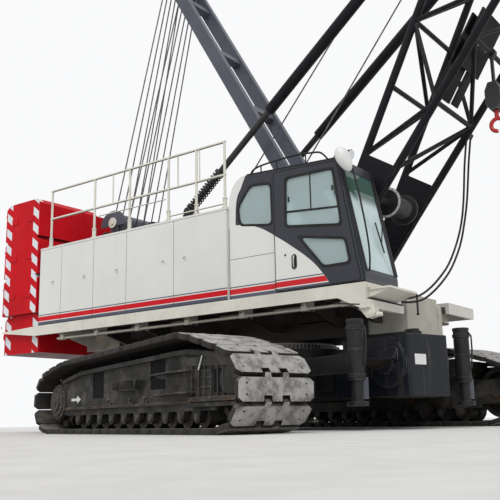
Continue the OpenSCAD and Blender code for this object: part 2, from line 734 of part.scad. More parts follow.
// Cab profile in X and Z, grown inward by t
module cab_profile(t) {
    polygon([
        [cab_rear + t, sill_top + t], [cab_front - t, sill_top + t], [cab_front - t, screen_foot],
        [cab_roof_front - t, cab_roof_z - t], [cab_rear + 420, cab_roof_rear_z - t],
        for (a = [100:20:180]) [cab_rear + 300 + (300 - t) * cos(a), cab_roof_rear_z - 440 + (440 - t) * sin(a)],
    ]);
}

// Height of the cab's roof at x
function cab_roof(x) = cab_roof_rear_z
    + (cab_roof_z - cab_roof_rear_z) * (x - cab_rear - 420) / (cab_roof_front - cab_rear - 420);
// Openings of the cab's outer side as points in X and Z
quarter_window = [[470, 3300], [510, 3020], [1100, 2930], [1090, 3560], [710, 3600]];
door_window = [[1390, 3560], [1370, 2850], [2280, 2730], [2180, 3545]];
low_window = [[1590, 2660], [1970, 2190], [2390, 2190], [2330, 2530]];
doorway = [[1215, sill_top + 70], [2470, sill_top + 70], [2190, 3600], [1215, 3640]];
door_outline = [[1165, sill_top + 20], [2555, sill_top + 20], [2250, 3655], [1165, 3700]];
screen_foot = sill_top + 136;
screen_lean = atan2(cab_front - cab_roof_front, cab_roof_z - screen_foot);
screen_bot = screen_foot + 60;
screen_h = 1480;
cab_out = half_w - slide_t - slide_gap;
cab_in = house_in;

module cab_shell() {
    width = cab_out - cab_in;
    color([0.23, 0.24, 0.28]) right() difference() {
        side_plate((cab_in + cab_out) / 2, width) cab_profile(0);
        side_plate((cab_in + cab_out) / 2, width - 2 * cab_t) cab_profile(cab_t);
        side_plate(cab_out, 2 * cab_t + 2) polygon(quarter_window);
        side_plate(cab_out, 2 * cab_t + 2) polygon(doorway);
        // Windows of the inner side
        side_plate(cab_in, 2 * cab_t + 2) polygon([[560, 2900], [2290, 2700], [2180, 3545], [700, 3600]]);
        // Windscreen
        translate([cab_front, (cab_in + cab_out) / 2, screen_bot]) rotate([0, -screen_lean, 0])
            box([-150, -width / 2 + 75, 0], [150, width / 2 - 75, screen_h]);
        // Rear window
        box([cab_rear - 1, cab_in + 200, 3000], [cab_rear + cab_t + 1, cab_out - 200, 3260]);
    }
}

module cab_door() {
    color([0.23, 0.24, 0.28]) right() side_plate(half_w - slide_t / 2, slide_t) difference() {
        polygon(door_outline);
        polygon(door_window);
        polygon(low_window);
    }
    // Runners that hang the door on the shell
    color([0.1, 0.1, 0.1]) right() for (p = [[1250, 3645], [1900, 3622]])
        box([p[0], cab_out + seat, p[1]], [p[0] + 120, half_w - slide_t + eps, p[1] + 28]);
}

module cab_door_glass() {
    color([0.5, 0.6, 0.62, 0.4]) right() side_plate(half_w - slide_t / 2, glass_t) {
        polygon(door_window);
        polygon(low_window);
    }
}

module cab_glass() {
    width = cab_out - cab_in;
    color([0.5, 0.6, 0.62, 0.4]) right() {
        side_plate(cab_out - cab_t / 2, glass_t) polygon(quarter_window);
        side_plate(cab_in + cab_t / 2, glass_t) polygon([[560, 2900], [2290, 2700], [2180, 3545], [700, 3600]]);
        translate([cab_front, (cab_in + cab_out) / 2, screen_bot]) rotate([0, -screen_lean, 0])
            box([-30, -width / 2 + 75, 0], [-30 + glass_t, width / 2 - 75, screen_h]);
        box([cab_rear + cab_t / 2 - glass_t / 2, cab_in + 200, 3000], [cab_rear + cab_t / 2 + glass_t / 2, cab_out - 200, 3260]);
    }
}

module cab_seat() {
    color([0.12, 0.12, 0.13]) right() translate([0, (cab_in + cab_out) / 2, 0]) {
        box([800, -180, sill_top + cab_t], [1200, 180, 2330]);
        box([730, -240, 2330], [1280, 240, 2470]);
        side_plate(0, 460) polygon([[700, 2430], [850, 2430], [760, 3120], [640, 3120]]);
        side_plate(0, 260) polygon([[640, 3110], [745, 3110], [730, 3320], [640, 3320]]);
    }
}

module cab_console() {
    color([0.15, 0.15, 0.16]) right() translate([0, (cab_in + cab_out) / 2, 0]) {
        for (s = [-1, 1]) {
            box([760, s * 310 - 60, sill_top + cab_t], [1330, s * 310 + 60, 2600]);
            translate([1240, s * 310, 2590]) cylinder(h = 170, r = 14);
            translate([1240, s * 310, 2740]) cylinder(h = 70, r = 24);
        }
        // Instrument post by the windscreen
        box([2080, -330, sill_top + cab_t], [2200, -230, 2650]);
        side_plate(-280, 200) polygon([[2060, 2600], [2160, 2600], [2230, 2850], [2150, 2860]]);
    }
}

module cab_mirror() {
    color([0.9, 0.9, 0.9]) right() {
        // Foot on the roof, arm and round mirror ahead of the door
        side_plate(cab_out - 80, 60) polygon([
            [cab_roof_front - 140, cab_roof(cab_roof_front - 140) + seat], [cab_roof_front - 50, cab_roof(cab_roof_front - 50) + seat],
            [cab_roof_front - 50, cab_roof_z + 80], [cab_roof_front - 140, cab_roof_z + 80],
        ]);
        strut([cab_roof_front - 80, cab_out - 80, cab_roof_z + 66], [cab_roof_front + 170, half_w - 40, cab_roof_z - 60], 14, 12);
        translate([cab_roof_front + 180, half_w - 40, cab_roof_z - 70]) rotate([0, -72, 0]) cylinder(h = 40, r = 120);
    }
}

module slab(i) {
    z0 = slab_bot + i * slab_h + slab_gap / 2;
    z1 = slab_bot + (i + 1) * slab_h - slab_gap / 2;
    low = i == 0;
    half = low ? half_w - sill_t - 30 : slab_half_w;
    c = slab_clip;
    color([0.75, 0.08, 0.1]) difference() {
        union() {
            side_plate(0, 2 * half) polygon([
                [-slab_rear, z0], [-slab_front, z0], [-slab_front, z1 - c], [-slab_front - c, z1],
                [-slab_rear + c, z1], [-slab_rear, z1 - c],
            ]);
            // Lifting lugs at the rear corners
            for (s = [-1, 1]) side_plate(s * (half - 150), 90) polygon([
                [-slab_rear + 10, z0 + 60], [-slab_rear + 10, z1 - 70], [-slab_rear - 60, z1 - 140], [-slab_rear - 60, z0 + 120],
            ]);
        }
        // Recess in the middle of the front
        box([-slab_front - 260, -420, z0 - 1], [-slab_front + 1, 420, z1 + 1]);
    }
}

module winch(x) {
    color([0.75, 0.75, 0.72]) translate([-x, 0, winch_z]) {
        cross_rod(0, 0, drum_r, -drum_half_w, drum_half_w);
        for (s = [-1, 1]) cross_rod(0, 0, flange_r, s > 0 ? drum_half_w - 30 : -drum_half_w, s > 0 ? drum_half_w : -drum_half_w + 30);
        cross_rod(0, 0, 90, -drum_half_w - 50 + seat, drum_half_w + 50 - seat);
    }
}

block_x = 3540;
block_z = 3965;
module rope_block() {
    color([0.45, 0.46, 0.55]) {
        cross_rod(-block_x, block_z, 200, -500, 500);
        for (s = [-1, 1]) cross_rod(-block_x, block_z, 150, s > 0 ? 500 : -530, s > 0 ? 530 : -500);
    }
    color([0.2, 0.2, 0.2]) both_sides() side_plate(560, 40) polygon([
        [-block_x - 60, centre_top], [-block_x + 200, centre_top], [-block_x + 90, block_z], [-block_x + 60, block_z + 80],
        [-block_x - 60, block_z + 80], [-block_x - 90, block_z],
    ]);
    color([0.2, 0.2, 0.2]) both_sides() cross_rod(-block_x, block_z, 60, 530, 545);
}

// Radius of the cross struts
bar_r = lace_r + 6;
// Y of the points where the lacing of the top and bottom meets, just inside the chords
lace_y = boom_half_w - 25;

module chord_lines(ends, bend, r) {
    knots = [ends[0], bend, ends[1]];
    for (y = [-1, 1], h = [-1, 1], i = [0, 1])
        strut([knots[i], y * boom_half_w, h * half_depth(knots[i])],
              [knots[i + 1], y * boom_half_w, h * half_depth(knots[i + 1])], r, 32);
}

// Side faces of a section: two chords each and the lacing between them
module side_faces(ends, bend, panels) {
    chord_lines(ends, bend, chord_r);
    for (y = [-1, 1]) {
        // Node blocks at the bend
        for (h = [-1, 1])
            translate([bend, y * boom_half_w, h * half_depth(bend)]) cube([170, 150, 150], center = true);
        for (i = [0:len(panels) - 2]) {
            flip = i % 2 == 0 ? 1 : -1;
            strut([panels[i], y * boom_half_w, flip * half_depth(panels[i])],
                  [panels[i + 1], y * boom_half_w, -flip * half_depth(panels[i + 1])], lace_r);
        }
    }
}

// Lacing of the top and bottom faces with cross struts at the places in bars, set in between the chords
module flat_faces(ends, bend, panels, bars) {
    difference() {
        for (h = [-1, 1]) {
            for (i = [0:len(panels) - 2]) {
                flip = i % 2 == 0 ? 1 : -1;
                strut([panels[i], -flip * lace_y, h * half_depth(panels[i])],
                      [panels[i + 1], flip * lace_y, h * half_depth(panels[i + 1])], lace_r);
            }
            for (s = bars)
                strut([s, -boom_half_w, h * half_depth(s)], [s, boom_half_w, h * half_depth(s)], bar_r);
        }
        chord_lines(ends, bend, chord_r + seat);
        both_sides() box([0, foot_in - seat, -boom_depth], [plate_l + seat, foot_out + seat, boom_depth]);
        for (y = [-1, 1], h = [-1, 1])
            translate([bend, y * boom_half_w, h * half_depth(bend)])
                cube([170 + 2 * seat, 150 + 2 * seat, 150 + 2 * seat], center = true);
    }
}

hang_s = 4400;
// Eye of the backstops on the boom, along it and behind it
stop_eye_w = 90;
stop_pin_r = 40;
stop_dx = -stop_x + stop_l * cos(stop_angle) - boom_x;
stop_dz = stop_z + stop_l * sin(stop_angle) - boom_z;
stop_eye_s = stop_dx * cos(boom_angle) + stop_dz * sin(boom_angle);
stop_eye_h = -stop_dx * sin(boom_angle) + stop_dz * cos(boom_angle);
join_l = 60;
join_r = 45;
join_t = 40;
join_pin_r = 28;
base_panels = [2300, 3380, hang_s, 5280, taper_l, 6860, base_l - join_l - 60];
base_ends = [300, base_l - join_l];
plate_l = 2300;
module boom_base() {
    color([0.1, 0.1, 0.11]) boom_place() {
        side_faces(base_ends, taper_l, base_panels);
        flat_faces(base_ends, taper_l, base_panels, [3380, hang_s, base_l - join_l - 60]);
        both_sides() side_plate(boom_half_w, foot_t) difference() {
            union() {
                circle(r = 120);
                polygon([[0, -120], [plate_l, -half_depth(plate_l) - 30], [plate_l, half_depth(plate_l) + 30], [0, 120]]);
            }
            circle(r = foot_pin_r + run_fit);
        }
        // Forks of the couplings to the top section
        both_sides() for (h = [-1, 1], s = [-1, 1]) difference() {
            side_plate(boom_half_w + s * (join_t / 2 + seat + 14), 28) translate([base_l, h * boom_depth / 2])
                polygon([[-join_l - 10, -join_r], [join_r, -join_r], [join_r, join_r], [-join_l - 10, join_r]]);
            cross_rod(base_l, h * boom_depth / 2, join_pin_r + run_fit, 0, 2 * boom_half_w);
        }
        // Ears of the backstops
        both_sides() {
            side_plate(boom_half_w + 5, 60) translate([stop_eye_s, stop_eye_h]) {
                circle(r = 66);
                polygon([[-110, -190], [110, -190], [62, -20], [-62, -20]]);
            }
            cross_rod(stop_eye_s, stop_eye_h, stop_pin_r, boom_half_w, stop_y + stop_eye_w / 2 + 10);
        }
    }
}

top_bend = boom_l - taper_l + 600;
top_panels = [base_l + join_l + 60, 8700, top_bend, 10750, 11750, 12700, 13600, 14400];
top_ends = [base_l + join_l, boom_l - 200];
module boom_top() {
    color([0.1, 0.1, 0.11]) boom_place() {
        side_faces(top_ends, top_bend, top_panels);
        flat_faces(top_ends, top_bend, top_panels, [base_l + join_l + 60, 14400]);
        // Tongues and pins of the couplings to the base section
        both_sides() for (h = [-1, 1]) {
            box([base_l - join_r, boom_half_w - join_t / 2, h * boom_depth / 2 - join_r],
                [base_l + join_l + 10, boom_half_w + join_t / 2, h * boom_depth / 2 + join_r]);
            cross_rod(base_l, h * boom_depth / 2, join_pin_r, boom_half_w - join_t / 2 - 40, boom_half_w + join_t / 2 + 40);
        }
    }
}

module boom_tip() {
    color([0.1, 0.1, 0.11]) boom_place() {
        both_sides() side_plate(tip_y, tip_t) difference() {
            polygon([
                [boom_l - 700, -310], [boom_l + 100, -420], [boom_l + 260, -250],
                [boom_l + 200, 150], [boom_l - 100, 420], [boom_l - 700, 310],
            ]);
            translate([boom_l + jib_s, jib_h]) circle(r = jib_pin_r);
        }
        cross_rod(boom_l, 0, 60, -tip_y, tip_y);
        for (k = [-2:2]) cross_rod(boom_l, 0, 290, k * 110 - 30, k * 110 + 30);
        both_sides() cross_rod(boom_l - tip_pin_back, tip_h, pendant_pin_r, pend_y - 35, tip_y);
    }
}

boom_winch_s = 1760;
boom_winch_h = -180;
tip_t = 48;
tip_y = boom_half_w - chord_r - tip_t / 2 - seat;
jib_s = 120;
jib_h = -290;
jib_pin_r = 45;
module boom_winch() {
    color([0.85, 0.85, 0.82]) boom_place() translate([boom_winch_s, 0, boom_winch_h]) {
        cross_rod(0, 0, 150, -300, 300);
        for (s = [-1, 1]) cross_rod(0, 0, 240, s > 0 ? 280 : -300, s > 0 ? 300 : -280);
        cross_rod(0, 0, 60, -boom_half_w + chord_r + seat, boom_half_w - chord_r - seat);
    }
}

module mast() {
    color([0.38, 0.39, 0.47]) mast_place() {
        both_sides() side_plate(mast_half_w, leg_t) difference() {
            union() {
                circle(r = 100);
                polygon([[0, -100], [500, -leg_depth / 2], [mast_l - 350, -leg_depth / 2], [mast_l, -110],
                         [mast_l + 110, 0], [mast_l, 110], [mast_l - 350, leg_depth / 2], [500, leg_depth / 2], [0, 100]]);
            }
            circle(r = foot_pin_r + run_fit);
            translate([mast_l, 0]) circle(r = 60 + run_fit);
        }
        for (i = [0:4]) {
            s = 900 + i * (mast_l - 740 - 900) / 4;
            box([s - 70, -mast_in + seat, -70], [s + 70, mast_in - seat, 70]);
        }
    }
}

module mast_head() {
    color([0.2, 0.2, 0.22]) mast_place() {
        cross_rod(mast_l, 0, 60, -mast_out - 40, mast_out + 40);
        for (k = [-2:2]) cross_rod(mast_l, 0, sheave_r, k * 110 - 30, k * 110 + 30);
    }
}

// Pendants run from the mast head to the boom tip
pend_y = mast_out + 75;
pendant_pin_r = 45;
tip_h = 330;
tip_pin_back = 100;
mast_head_at = [mast_x + mast_l * cos(mast_angle), mast_z + mast_l * sin(mast_angle)];
boom_tip_at = [boom_x + (boom_l - tip_pin_back) * cos(boom_angle) - tip_h * sin(boom_angle),
               boom_z + (boom_l - tip_pin_back) * sin(boom_angle) + tip_h * cos(boom_angle)];
module pendants() {
    v = boom_tip_at - mast_head_at;
    color([0.25, 0.25, 0.27]) both_sides() {
        translate([mast_head_at[0], pend_y, mast_head_at[1]]) rotate([0, -atan2(v[1], v[0]), 0]) {
            translate([150, 0, 0]) rotate([0, 90, 0]) cylinder(h = norm(v) - 300, r = pendant_r);
            for (x = [0, norm(v)]) difference() {
                cross_rod(x, 0, 90, -25, 25);
                cross_rod(x, 0, pendant_pin_r + run_fit, -30, 30);
            }
            box([60, -20, -40], [220, 20, 40]);
            box([norm(v) - 220, -20, -40], [norm(v) - 60, 20, 40]);
        }
    }
}

module stop_place() { raise(-stop_x, stop_z, stop_angle) children(); }
stop_lap = 2300;
stop_rod_l = stop_l - 1500;
module backstop_tubes() {
    color([0.12, 0.12, 0.13]) stop_place() both_sides() translate([0, stop_y, 0]) rotate([0, 90, 0]) difference() {
        union() {
            translate([0, 0, stop_lap]) cylinder(h = stop_l - stop_lap - 80, r = stop_tube_r);
            translate([0, 0, stop_l]) rotate([90, 0, 0]) cylinder(h = stop_eye_w, r = stop_tube_r - 6, center = true);
        }
        translate([0, 0, stop_lap - 1]) cylinder(h = 150, r = stop_rod_r + run_fit);
        translate([0, 0, stop_lap + 120]) cylinder(h = stop_l - stop_lap - 420, r = stop_rod_r + 5);
        translate([0, 0, stop_l]) rotate([90, 0, 0]) cylinder(h = 300, r = stop_pin_r + run_fit, center = true);
    }
}

module backstop_rods() {
    color([0.15, 0.15, 0.16]) stop_place() both_sides() translate([0, stop_y, 0]) rotate([0, 90, 0]) {
        translate([0, 0, 60]) cylinder(h = stop_rod_l - 60, r = stop_rod_r);
        rotate([90, 0, 0]) cylinder(h = stop_eye_w, r = 80, center = true);
        translate([0, 0, 900]) cylinder(h = 40, r = stop_tube_r);
    }
}

block_half = 115;
hang_at = [boom_x + hang_s * cos(boom_angle) + half_depth(hang_s) * sin(boom_angle),
           boom_z + hang_s * sin(boom_angle) - half_depth(hang_s) * cos(boom_angle)];
module hook_block() {
    color([0.12, 0.12, 0.13]) translate([hang_at[0], 0, hang_at[1]]) {
        difference() {
            union() {
                cross_rod(0, 0, 75, -35, 35);
                box([-22, -22, -500], [22, 22, -60]);
            }
            cross_rod(0, 0, bar_r + 0.5, -60, 60);
        }
        difference() {
            side_plate(0, 220) polygon([
                [-60, -480], [60, -480], [block_half, -600], [block_half, -800],
                [60, -900], [-60, -900], [-block_half, -800], [-block_half, -600],
            ]);
            box([-300, -60, -820], [300, 60, -580]);
        }
        cross_rod(0, -700, block_half - 5, -45, 45);
        cross_rod(0, -700, 30, -60, 60);
    }
}

module hook() {
    color([0.75, 0.05, 0.05]) translate([hang_at[0], 0, hang_at[1] - 900]) {
        translate([0, 0, -110]) cylinder(h = 110 - seat, r = 32);
        translate([0, 0, -220]) rotate([90, 0, 0]) rotate_extrude(angle = 270, $fn = 48) translate([95, 0]) circle(r = 30, $fn = 24);
    }
}

carbody();
slewing_ring();
carbody_weights();
carbody_jacks();
side_frame(-track_y);  // side_frame_right
side_frame(track_y);  // side_frame_left
track(-track_y);  // track_right
track(track_y);  // track_left
idlers();
drive_wheels();
bottom_rollers();
centre_frame();
right() deck(true);  // deck_right
deck(false);  // deck_left
right() house(door_edges);  // house_right
house(left_edges);  // house_left
engine();
guard_rails();
right() house_door(door_edges, 0);  // door_right_1
right() house_door(door_edges, 1);  // door_right_2
right() house_door(door_edges, 2);  // door_right_3
right() house_door(door_edges, 3);  // door_right_4
right() house_door(door_edges, 4);  // door_right_5
house_door(left_edges, 0);  // door_left_1
house_door(left_edges, 1);  // door_left_2
house_door(left_edges, 2);  // door_left_3
house_door(left_edges, 3);  // door_left_4
cab_shell();
cab_door();
cab_glass();
cab_door_glass();
cab_seat();
cab_console();
cab_mirror();
slab(0);  // slab_1
slab(1);  // slab_2
slab(2);  // slab_3
slab(3);  // slab_4
winch(winch_front_x);  // winch_front
winch(winch_rear_x);  // winch_rear
winch(winch_boom_x);  // winch_boom
rope_block();
boom_base();
boom_top();
boom_tip();
boom_winch();
mast();
mast_head();
pendants();
backstop_tubes();
backstop_rods();
hook_block();
hook();
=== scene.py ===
# %% [markdown]
# # A lattice boom crawler crane
# This scene dresses a crawler crane whose solids are already made. The solids carry the real sizes
# and the joints. Here they get paint, dust, wear and the small things that a paint shop and a
# rigger add: ropes, springs, bolts, window seals, steps and lamps. Work goes from the whole to the
# small: camera and light first, then the finishes, then the pieces, from the ground up.

# %% Load the crane
import bpy
import bmesh
import math
from functools import partial
from mathutils import Matrix, Vector


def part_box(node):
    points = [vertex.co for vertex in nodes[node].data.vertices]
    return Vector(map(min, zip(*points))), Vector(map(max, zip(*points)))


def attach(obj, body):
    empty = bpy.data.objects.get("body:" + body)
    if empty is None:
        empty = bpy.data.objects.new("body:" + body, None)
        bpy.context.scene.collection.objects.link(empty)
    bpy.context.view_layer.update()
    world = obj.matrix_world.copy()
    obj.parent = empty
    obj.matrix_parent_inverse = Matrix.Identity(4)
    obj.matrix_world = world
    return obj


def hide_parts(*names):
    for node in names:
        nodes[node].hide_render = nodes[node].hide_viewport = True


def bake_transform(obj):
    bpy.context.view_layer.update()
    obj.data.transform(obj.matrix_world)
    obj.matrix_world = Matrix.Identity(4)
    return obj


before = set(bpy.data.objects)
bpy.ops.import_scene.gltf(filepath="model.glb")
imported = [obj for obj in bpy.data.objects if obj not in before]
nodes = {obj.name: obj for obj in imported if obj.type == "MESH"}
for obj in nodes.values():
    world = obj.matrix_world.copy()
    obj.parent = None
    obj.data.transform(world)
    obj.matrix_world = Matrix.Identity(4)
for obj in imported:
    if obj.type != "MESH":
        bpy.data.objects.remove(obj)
scene = bpy.context.scene
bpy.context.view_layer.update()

# %% [markdown]
# ## The camera
# The photographer stood low, at about knee height, near the front right corner. A camera is given
# by its place, by where it points and by its lens. Heading and pitch are turned into three axes,
# and the axes fill the camera's matrix. A square picture and a 36 mm sensor make the lens length
# easy to work out from the field of view.

# %% Camera
EYE = Vector((7.458, -10.745, 0.171))
HEADING = math.radians(127.082)
PITCH = math.radians(12.268)
ROLL = math.radians(-1.123)
LENS = 56.1

ahead = Vector((math.cos(HEADING) * math.cos(PITCH), math.sin(HEADING) * math.cos(PITCH), math.sin(PITCH)))
level = Vector((math.sin(HEADING), -math.cos(HEADING), 0.0))
upward = level.cross(ahead)
side = math.cos(ROLL) * level + math.sin(ROLL) * upward
top = math.cos(ROLL) * upward - math.sin(ROLL) * level
camera_data = bpy.data.cameras.new("camera")
camera_data.sensor_fit = "HORIZONTAL"
camera_data.sensor_width = 36.0
camera_data.lens = LENS
camera_data.clip_end = 500.0
camera = bpy.data.objects.new("camera", camera_data)
scene.collection.objects.link(camera)
matrix = Matrix((side, top, -ahead)).transposed().to_4x4()
matrix.translation = EYE
camera.matrix_world = matrix
scene.camera = camera
print("camera at", tuple(round(v, 2) for v in EYE))

# %% [markdown]
# ## Two hoses between the boom and the deck
# Two black hoses leave the inner end of the deck's front plate and hang in a bow up to a clamp on
# the far lower chord of the boom. A hose is a curve with a round bevel: the curve holds the route,
# and the bevel gives the wall. The route is a handful of listed points, and a Catmull-Rom curve
# through them gives the smooth line that a stiff hose takes under its own weight. The hoses are
# made first.

# %% Hoses
HOSE_R = 0.016
HOSE_ROUTES = {
    "hose_outer": [(2.57, -0.83, 1.752), (2.60, -0.755, 1.748), (2.65, -0.66, 1.750), (2.751, -0.49, 1.785),
                   (2.834, -0.29, 1.905), (2.921, -0.074, 2.097), (2.997, 0.115, 2.322), (3.071, 0.299, 2.66),
                   (3.117, 0.412, 2.999), (3.157, 0.512, 3.408), (3.193, 0.601, 3.988), (3.222, 0.655, 4.33),
                   (3.236, 0.669, 4.45)],
    "hose_inner": [(2.57, -0.83, 1.800), (2.597, -0.755, 1.798), (2.645, -0.66, 1.808), (2.744, -0.49, 1.862),
                   (2.828, -0.295, 1.99), (2.908, -0.107, 2.168), (2.975, 0.061, 2.367), (3.043, 0.233, 2.68),
                   (3.095, 0.362, 3.02), (3.126, 0.449, 3.40), (3.150, 0.530, 3.93), (3.180, 0.590, 4.31),
                   (3.196, 0.612, 4.44)],
}


def curve_through(points, steps):
    """Points on a Catmull-Rom curve through the given ones."""
    spots = [Vector(p) for p in points]
    spots = [spots[0] * 2 - spots[1]] + spots + [spots[-1] * 2 - spots[-2]]
    path = []
    for a, b, c, d in zip(spots, spots[1:], spots[2:], spots[3:]):
        for k in range(steps):
            t = k / steps
            path.append(0.5 * (2 * b + (c - a) * t + (2 * a - 5 * b + 4 * c - d) * t ** 2
                               + (3 * b - a - 3 * c + d) * t ** 3))
    return path + [spots[-2]]


hoses = []
for name, route in HOSE_ROUTES.items():
    path = curve_through(route, 3)
    line = bpy.data.curves.new(name, "CURVE")
    line.dimensions = "3D"
    line.bevel_depth = HOSE_R
    line.bevel_resolution = 3
    line.use_fill_caps = True
    spline = line.splines.new("POLY")
    spline.points.add(len(path) - 1)
    for point, spot in zip(spline.points, path):
        point.co = (*spot, 1)
    hose = bpy.data.objects.new(name, line)
    scene.collection.objects.link(hose)
    hoses.append(hose)
    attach(hose, "upper")

# %% [markdown]
# ## Light and floor
# The day was overcast, so the light is soft and comes from the whole sky. A pale world does most
# of the work. One wide sun, high and a little behind the camera, gives the forms a lit and a shaded
# side. The camera sees the world as near white through Light Path, while the crane is lit at a
# plain level, so the colours come out as they are written.

# %% World and sun
scene.view_settings.view_transform = "Standard"
SKY = (0.93, 0.94, 0.96)
SKY_SEEN = (0.95, 0.955, 0.965)
SKY_LEVEL = 0.80
SUN_LEVEL = 1.5
SUN_WIDTH = 35
SUN_FROM = Vector((0.35, -0.55, 1.0))

world = bpy.data.worlds.new("overcast")
scene.world = world
world.use_nodes = True
tree = world.node_tree
tree.nodes.clear()
output = tree.nodes.new("ShaderNodeOutputWorld")
lit = tree.nodes.new("ShaderNodeBackground")
lit.inputs["Color"].default_value = (*SKY, 1)
lit.inputs["Strength"].default_value = SKY_LEVEL
seen = tree.nodes.new("ShaderNodeBackground")
seen.inputs["Color"].default_value = (*SKY_SEEN, 1)
seen.inputs["Strength"].default_value = 1.0
mix = tree.nodes.new("ShaderNodeMixShader")
rays = tree.nodes.new("ShaderNodeLightPath")
sees_sky = rays.outputs["Is Camera Ray"]
for kind in ("Is Glossy Ray", "Is Transmission Ray"):
    either = tree.nodes.new("ShaderNodeMath")
    either.operation = "MAXIMUM"
    tree.links.new(sees_sky, either.inputs[0])
    tree.links.new(rays.outputs[kind], either.inputs[1])
    sees_sky = either.outputs[0]
tree.links.new(sees_sky, mix.inputs["Fac"])
tree.links.new(lit.outputs[0], mix.inputs[1])
tree.links.new(seen.outputs[0], mix.inputs[2])
tree.links.new(mix.outputs[0], output.inputs["Surface"])

sun_data = bpy.data.lights.new("sun", "SUN")
sun_data.energy = SUN_LEVEL
sun_data.angle = math.radians(SUN_WIDTH)
sun = bpy.data.objects.new("sun", sun_data)
scene.collection.objects.link(sun)
sun.rotation_euler = SUN_FROM.to_track_quat("Z", "Y").to_euler()
print("sky", SKY_LEVEL, "sun", sun_data.energy)

# %% [markdown]
# ## Making materials with nodes
# Every finish here is a small node tree. A few helpers keep the trees short: one adds a node and
# sets its sockets, one makes a mask from noise, and one mixes two colours by a mask. Noise reads
# Object coordinates, because a node of the crane keeps its coordinates when a joint moves, so
# stripes and dust stay on the panel that they were painted on.

# %% Node helpers
COAT_ROUGH = 0.15
SHINE = 0.28
COLOUR_A, COLOUR_B, COLOUR_OUT = 6, 7, 2


def add(mat, kind, **settings):
    """Adds a shader node; words in lower case set its properties, the rest its sockets."""
    node = mat.node_tree.nodes.new(kind)
    for name, value in settings.items():
        if hasattr(node, name):
            setattr(node, name, value)
        else:
            node.inputs[name.replace("_", " ")].default_value = value
    return node


def link(mat, source, target):
    """Joins an output to an input."""
    mat.node_tree.links.new(source, target)


def blank(name, colour, rough, metal=0.0, coat=0.0):
    """A Principled material with plain values; returns it with its shader."""
    mat = bpy.data.materials.new(name)
    mat.use_nodes = True
    shader = mat.node_tree.nodes["Principled BSDF"]
    shader.inputs["Base Color"].default_value = (*colour, 1)
    shader.inputs["Roughness"].default_value = rough
    shader.inputs["Metallic"].default_value = metal
    shader.inputs["Coat Weight"].default_value = coat
    shader.inputs["Coat Roughness"].default_value = COAT_ROUGH
    shader.inputs["Specular IOR Level"].default_value = SHINE
    mat.diffuse_color = (*colour, 1)
    return mat, shader


def place(mat):
    """Object coordinates of the surface, in metres."""
    return add(mat, "ShaderNodeTexCoord").outputs["Object"]


def parts_of(mat, vector):
    """The three parts of a vector, each as a socket."""
    split = add(mat, "ShaderNodeSeparateXYZ")
    link(mat, vector, split.inputs[0])
    return list(split.outputs)


def part_of(mat, vector, axis):
    """One part of a vector: 0 for X, 1 for Y, 2 for Z."""
    return parts_of(mat, vector)[axis]

# %% [markdown]
# ## Masks and mixes
# A mask is a number from 0 to 1 at each point of a surface. Noise gives patchy masks, a ramp turns
# any number into one, and a product of masks holds only where all of them do. A mask then picks
# between two colours, and a chain of such picks is the whole finish.

# %% Masks
def noise(mat, vector, scale, low, high, detail=4.0, stretch=None):
    """A 0 to 1 mask from noise, cut between low and high."""
    if stretch:
        mapping = add(mat, "ShaderNodeMapping")
        mapping.inputs["Scale"].default_value = stretch
        link(mat, vector, mapping.inputs["Vector"])
        vector = mapping.outputs[0]
    node = add(mat, "ShaderNodeTexNoise", Scale=scale, Detail=detail, Roughness=0.6)
    link(mat, vector, node.inputs["Vector"])
    return ramp(mat, node.outputs["Fac"], low, high)


def ramp(mat, value, low, high, smooth=True):
    """Maps low..high to 0..1 and holds it there; low above high turns it round."""
    kind = "SMOOTHSTEP" if smooth and low < high else "LINEAR"
    node = add(mat, "ShaderNodeMapRange", clamp=True, interpolation_type=kind, From_Min=low, From_Max=high)
    link(mat, value, node.inputs["Value"])
    return node.outputs[0]


def maths(mat, operation, a, b=None):
    """A Math node on one or two values, each a number or a socket."""
    node = add(mat, "ShaderNodeMath", operation=operation)
    for socket, value in zip(node.inputs, (a, b)):
        if value is None:
            continue
        if isinstance(value, (int, float)):
            socket.default_value = value
        else:
            link(mat, value, socket)
    return node.outputs[0]


def times(mat, first, *others):
    """The product of masks and numbers: a mask that needs all of them."""
    for other in others:
        first = maths(mat, "MULTIPLY", first, other)
    return first


def step(mat, value, low, high):
    """A ramp with straight sides, for edges as sharp as masking tape leaves them."""
    return ramp(mat, value, low, high, smooth=False)


def blend_colour(mat, mask, under, over):
    """Mixes two colours, each a tuple or a socket, by a mask."""
    node = add(mat, "ShaderNodeMix", data_type="RGBA", blend_type="MIX")
    link(mat, mask, node.inputs["Factor"])
    for socket, value in ((node.inputs[COLOUR_A], under), (node.inputs[COLOUR_B], over)):
        if isinstance(value, tuple):
            socket.default_value = (*value, 1)
        else:
            link(mat, value, socket)
    return node.outputs[COLOUR_OUT]


def bump(mat, shader, height, strength, distance):
    """Raises the surface by a height, in the shader's normal only."""
    node = add(mat, "ShaderNodeBump", Strength=strength, Distance=distance)
    link(mat, height, node.inputs["Height"])
    link(mat, node.outputs[0], shader.inputs["Normal"])


def worn_edges(mat, radius, low, high):
    """A mask that is 1 along convex edges, from the difference of a rounded and a plain normal."""
    round_normal = add(mat, "ShaderNodeBevel", samples=4, Radius=radius)
    plain = add(mat, "ShaderNodeNewGeometry")
    dot = add(mat, "ShaderNodeVectorMath", operation="DOT_PRODUCT")
    link(mat, round_normal.outputs[0], dot.inputs[0])
    link(mat, plain.outputs["Normal"], dot.inputs[1])
    return step(mat, dot.outputs["Value"], high, low)

# %% [markdown]
# ## Floor
# A plain pale floor catches the shadow of the tracks. It is a wide disc with the colour of the
# sky far away, so that it meets the background without a hard line.

